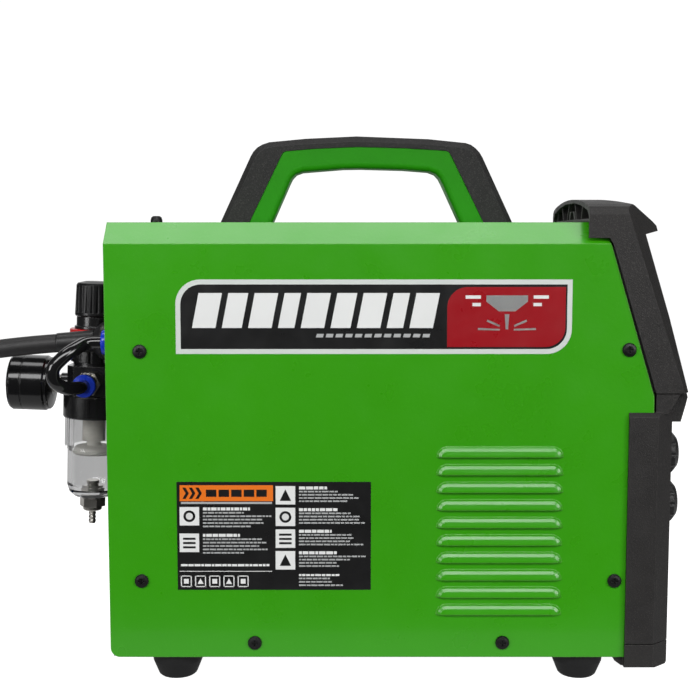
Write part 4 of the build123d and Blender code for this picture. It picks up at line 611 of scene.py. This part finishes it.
def text_poly(bm, body_text, place, cx_, cy_, size, mt, w0, w1):
    """generic dial digits as thin plates"""
    cu_ = bpy.data.curves.new("t", "FONT")
    cu_.body = body_text
    cu_.size = size
    cu_.align_x = "CENTER"
    cu_.align_y = "CENTER"
    ob_ = bpy.data.objects.new("t", cu_)
    sc.collection.objects.link(ob_)
    bpy.context.view_layer.update()
    me_ = bpy.data.meshes.new_from_object(ob_.evaluated_get(bpy.context.evaluated_depsgraph_get()))
    tmp = bmesh.new()
    tmp.from_mesh(me_)
    vm = {}
    for v in tmp.verts:
        vm[v.index] = bm.verts.new(place(cx_ + v.co.x, cy_ + v.co.y, w1))
    for f in tmp.faces:
        try:
            nf = bm.faces.new([vm[v.index] for v in f.verts])
            nf.material_index = mt
        except ValueError:
            pass
    tmp.free()
    bpy.data.objects.remove(ob_)
    bpy.data.meshes.remove(me_)
    bpy.data.curves.remove(cu_)


bm = bmesh.new()
for a0, a1, b0, b1 in ((-47, 47, -41.5, -40.7), (-47, 47, 46.7, 47.5), (-47, -46.2, -40.7, 46.7), (46.2, 47, -40.7, 46.7)):
    plate(bm, rounded(a0, a1, b0, b1), panel, 0.5, 0.515, 0)
# dark field with an opening for the display
for a0, a1, b0, b1 in ((-46.2, 46.2, -40.7, 21.7), (-46.2, -20.3, 21.7, 44.3), (20.3, 46.2, 21.7, 44.3), (-46.2, 46.2, 44.3, 46.7)):
    plate(bm, rounded(a0, a1, b0, b1), panel, 0.5, 0.515, 1)
KV = -19.0
for i in range(19):
    a = math.radians(225 - 15 * i)
    r_in, r_out = 19.2, 22.4 if i % 3 == 0 else 20.8
    ca, sa = math.cos(a), math.sin(a)
    hw = 0.35
    plate(bm, [(r_in * ca - hw * sa, KV + r_in * sa + hw * ca), (r_in * ca + hw * sa, KV + r_in * sa - hw * ca),
               (r_out * ca + hw * sa, KV + r_out * sa - hw * ca), (r_out * ca - hw * sa, KV + r_out * sa + hw * ca)], panel, 0.51, 0.53, 0)
for i, t in enumerate(("15", "20", "25", "30", "35", "40", "45")):
    a = math.radians(225 - 45 * i)
    text_poly(bm, t, panel, 26.0 * math.cos(a), KV + 25.0 * math.sin(a), 4.0, 0, 0.51, 0.53)
# plain symbols by the buttons and lamps
for s_ in (-1, 1):
    plate(bm, rounded(s_ * 36 - 8, s_ * 36 + 8, 11.5, 12.2), panel, 0.51, 0.53, 0)
    plate(bm, [(s_ * 36 - 2.2, 14.2), (s_ * 36 + 2.2, 14.2), (s_ * 36, 18.0)], panel, 0.51, 0.53, 0)
for k, u0 in enumerate((-18.0, -6.0, 6.0, 18.0)):
    plate(bm, rounded(u0 - 2.4, u0 + 2.4, 15.6, 16.3), panel, 0.51, 0.53, 0)
    plate(bm, rounded(u0 - 1.2, u0 + 1.2, 17.2, 17.9), panel, 0.51, 0.53, 0)
plate(bm, rounded(-21.6, 21.6, 20.4, 20.8), panel, 0.51, 0.53, 2)
plate(bm, rounded(-21.6, 21.6, 45.2, 45.6), panel, 0.51, 0.53, 2)
M["print_light"] = make("print_light", (0.55, 0.56, 0.55), rough=0.45, var=0.05, var_scale=300, edge_r=0.0001)
M["print_field"] = make("print_field", (0.022, 0.024, 0.026), rough=0.42, coat=0.2, var=0.1, grains=[(2600, 0.12, 0.0002)], edge_r=0.0001)
M["print_green"] = make("print_green", (0.06, 0.36, 0.01), rough=0.42, var=0.05, edge_r=0.0001)
add_mesh("panel_print", bm, [M["print_light"], M["print_field"], M["print_green"]])

# ---------------------------------------------------------------- gauge dial print: generic scale
def dial(u, v, w):
    """u to the right as the dial is read, v up, w towards the reader"""
    return leaned(-260.4 - w, 6.0 - u, 213.5 + v)


bm = bmesh.new()
for i in range(51):
    a = math.radians(225 - 5.4 * i)
    big = i % 10 == 0
    mid = i % 5 == 0
    r_out = 15.6
    r_in = r_out - (2.6 if big else 1.9 if mid else 1.2)
    hw = 0.28 if big else 0.16
    ca, sa = math.cos(a), math.sin(a)
    plate(bm, [(r_in * ca - hw * sa, r_in * sa + hw * ca), (r_in * ca + hw * sa, r_in * sa - hw * ca),
               (r_out * ca + hw * sa, r_out * sa - hw * ca), (r_out * ca - hw * sa, r_out * sa + hw * ca)], dial, 0.0, 0.03, 0)
for i, t in enumerate(("0", "2", "4", "6", "8", "10")):
    a = math.radians(225 - 54 * i)
    text_poly(bm, t, dial, 10.6 * math.cos(a), 10.6 * math.sin(a), 3.1, 0, 0.0, 0.03)
add_mesh("dial_print", bm, [M["ink"]])

# ---------------------------------------------------------------- strain relief on the lead
bm = bmesh.new()
c0 = P(-194.6, -26.0, 251.2)
ax = (P(-258.0, -26.8, 248.2) - c0).normalized()
L = 29.0
prof = [(0.0072, 0.0), (0.0088, 0.0), (0.0088, 0.0012), (0.0085, 0.0030), (0.0081, 0.0120), (0.0077, 0.0210), (0.00748, 0.0280),
        (0.00735, L / 1000), (0.0072, L / 1000)]
revolve(bm, prof, c0, ax, 40)
bmesh.ops.recalc_face_normals(bm, faces=bm.faces)
relief = add_mesh("strain_relief", bm, M["gland"], smooth=True)

# ---------------------------------------------------------------- ties round the coil
ties = []
bm = bmesh.new()
for phi in (math.radians(-118), math.radians(-240)):
    er = Vector((math.cos(phi), math.sin(phi), 0))
    et = Vector((-math.sin(phi), math.cos(phi), 0))
    cc = P(COIL_X, 0, 0)
    hwid, th_ = 0.0075, 0.0005
    # rounded rectangle round the four strands
    out_ = []
    rr = 0.0071
    for (rc, zc, st) in ((R_OUT, Z_TOP, 0), (R_IN, Z_TOP, 90), (R_IN, Z_LOW, 180), (R_OUT, Z_LOW, 270)):
        for i in range(9):
            a = math.radians(st + 90 * i / 8)
            out_.append((rc / 1000 + rr * math.cos(a), zc / 1000 + rr * math.sin(a), math.cos(a), math.sin(a)))
    loops = []
    for off in (0.00005, th_):
        for sgn in (-1, 1):
            loops.append([bm.verts.new(cc + er * (x + nx * off) + Vector((0, 0, z + nz * off)) + et * (sgn * hwid)) for x, z, nx, nz in out_])
    n_ = len(out_)
    for a, b in ((loops[0], loops[1]), (loops[3], loops[2]), (loops[1], loops[3]), (loops[2], loops[0])):
        for i in range(n_):
            j = (i + 1) % n_
            bm.faces.new((a[i], a[j], b[j], b[i]))
bmesh.ops.recalc_face_normals(bm, faces=bm.faces)
M["strap"] = make("tie_strap", (0.015, 0.015, 0.016), rough=0.75, var=0.2, grains=[(1400, 0.8, 0.0005)], edge_r=0.0001)
tie = add_mesh("coil_ties", bm, M["strap"])

# ---------------------------------------------------------------- floor, world, lights
bm = bmesh.new()
vs = [bm.verts.new(v) for v in ((-1.6, -0.194, 0), (1.6, -0.194, 0), (1.6, 1.7, 0), (-1.6, 1.7, 0))]
bm.faces.new(vs)
me = bpy.data.meshes.new("floor")
bm.to_mesh(me)
bm.free()
floor = bpy.data.objects.new("floor", me)
sc.collection.objects.link(floor)
floor.location = (0, 0, -0.0003)
m, nt, b = node_mat("floor_pale")
b.inputs["Base Color"].default_value = (0.5, 0.5, 0.5, 1)
b.inputs["Roughness"].default_value = 0.65
b.inputs["Specular IOR Level"].default_value = 0.0
b.inputs["Emission Color"].default_value = (1, 1, 1, 1)
b.inputs["Emission Strength"].default_value = 1.0
# paler to the eye than the light it sends back
dim = nt.nodes.new("ShaderNodeEmission")
dim.inputs[0].default_value = (1, 1, 1, 1)
dim.inputs[1].default_value = 0.45
lpf = nt.nodes.new("ShaderNodeLightPath")
mxf = nt.nodes.new("ShaderNodeMixShader")
nt.links.new(lpf.outputs["Is Camera Ray"], mxf.inputs[0])
nt.links.new(dim.outputs[0], mxf.inputs[1])
nt.links.new(b.outputs[0], mxf.inputs[2])
nt.links.new(mxf.outputs[0], nt.nodes["Material Output"].inputs[0])
me.materials.append(m)

w = bpy.data.worlds.new("world")
sc.world = w
w.use_nodes = True
nt = w.node_tree
nt.nodes.clear()
wo = nt.nodes.new("ShaderNodeOutputWorld")
bg1 = nt.nodes.new("ShaderNodeBackground")
bg2 = nt.nodes.new("ShaderNodeBackground")
bg1.inputs[0].default_value = (1, 1, 1, 1)
bg1.inputs[1].default_value = 0.06
bg2.inputs[0].default_value = (1, 1, 1, 1)
bg2.inputs[1].default_value = 1.05
lp = nt.nodes.new("ShaderNodeLightPath")
mx = nt.nodes.new("ShaderNodeMixShader")
nt.links.new(lp.outputs["Is Camera Ray"], mx.inputs[0])
nt.links.new(bg1.outputs[0], mx.inputs[1])
nt.links.new(bg2.outputs[0], mx.inputs[2])
nt.links.new(mx.outputs[0], wo.inputs[0])


def area(name, loc, target, sx, sy, power, col=(1, 1, 1)):
    ld = bpy.data.lights.new(name, "AREA")
    ld.shape = "RECTANGLE"
    ld.size, ld.size_y = sx, sy
    ld.energy = power
    ld.color = col
    ob_ = bpy.data.objects.new(name, ld)
    sc.collection.objects.link(ob_)
    ob_.location = loc
    d = Vector(target) - Vector(loc)
    ob_.rotation_euler = d.to_track_quat("-Z", "Y").to_euler()
    ob_.visible_camera = False
    return ob_


area("front_fill", (0.0, -1.4, 1.1), (0, 0, 0.2), 2.0, 0.5, 20)
area("front_left", (-1.5, -1.35, 0.55), (0, 0, 0.2), 0.8, 0.8, 13)
area("front_right", (1.5, -1.35, 0.55), (0, 0, 0.2), 0.8, 0.8, 13)
area("top", (0.0, -0.03, 1.3), (0, -0.03, 0.3), 1.6, 0.3, 5.5)
area("backdrop", (0.0, 1.8, 0.9), (0, 0, 0.3), 3.0, 2.2, 16)
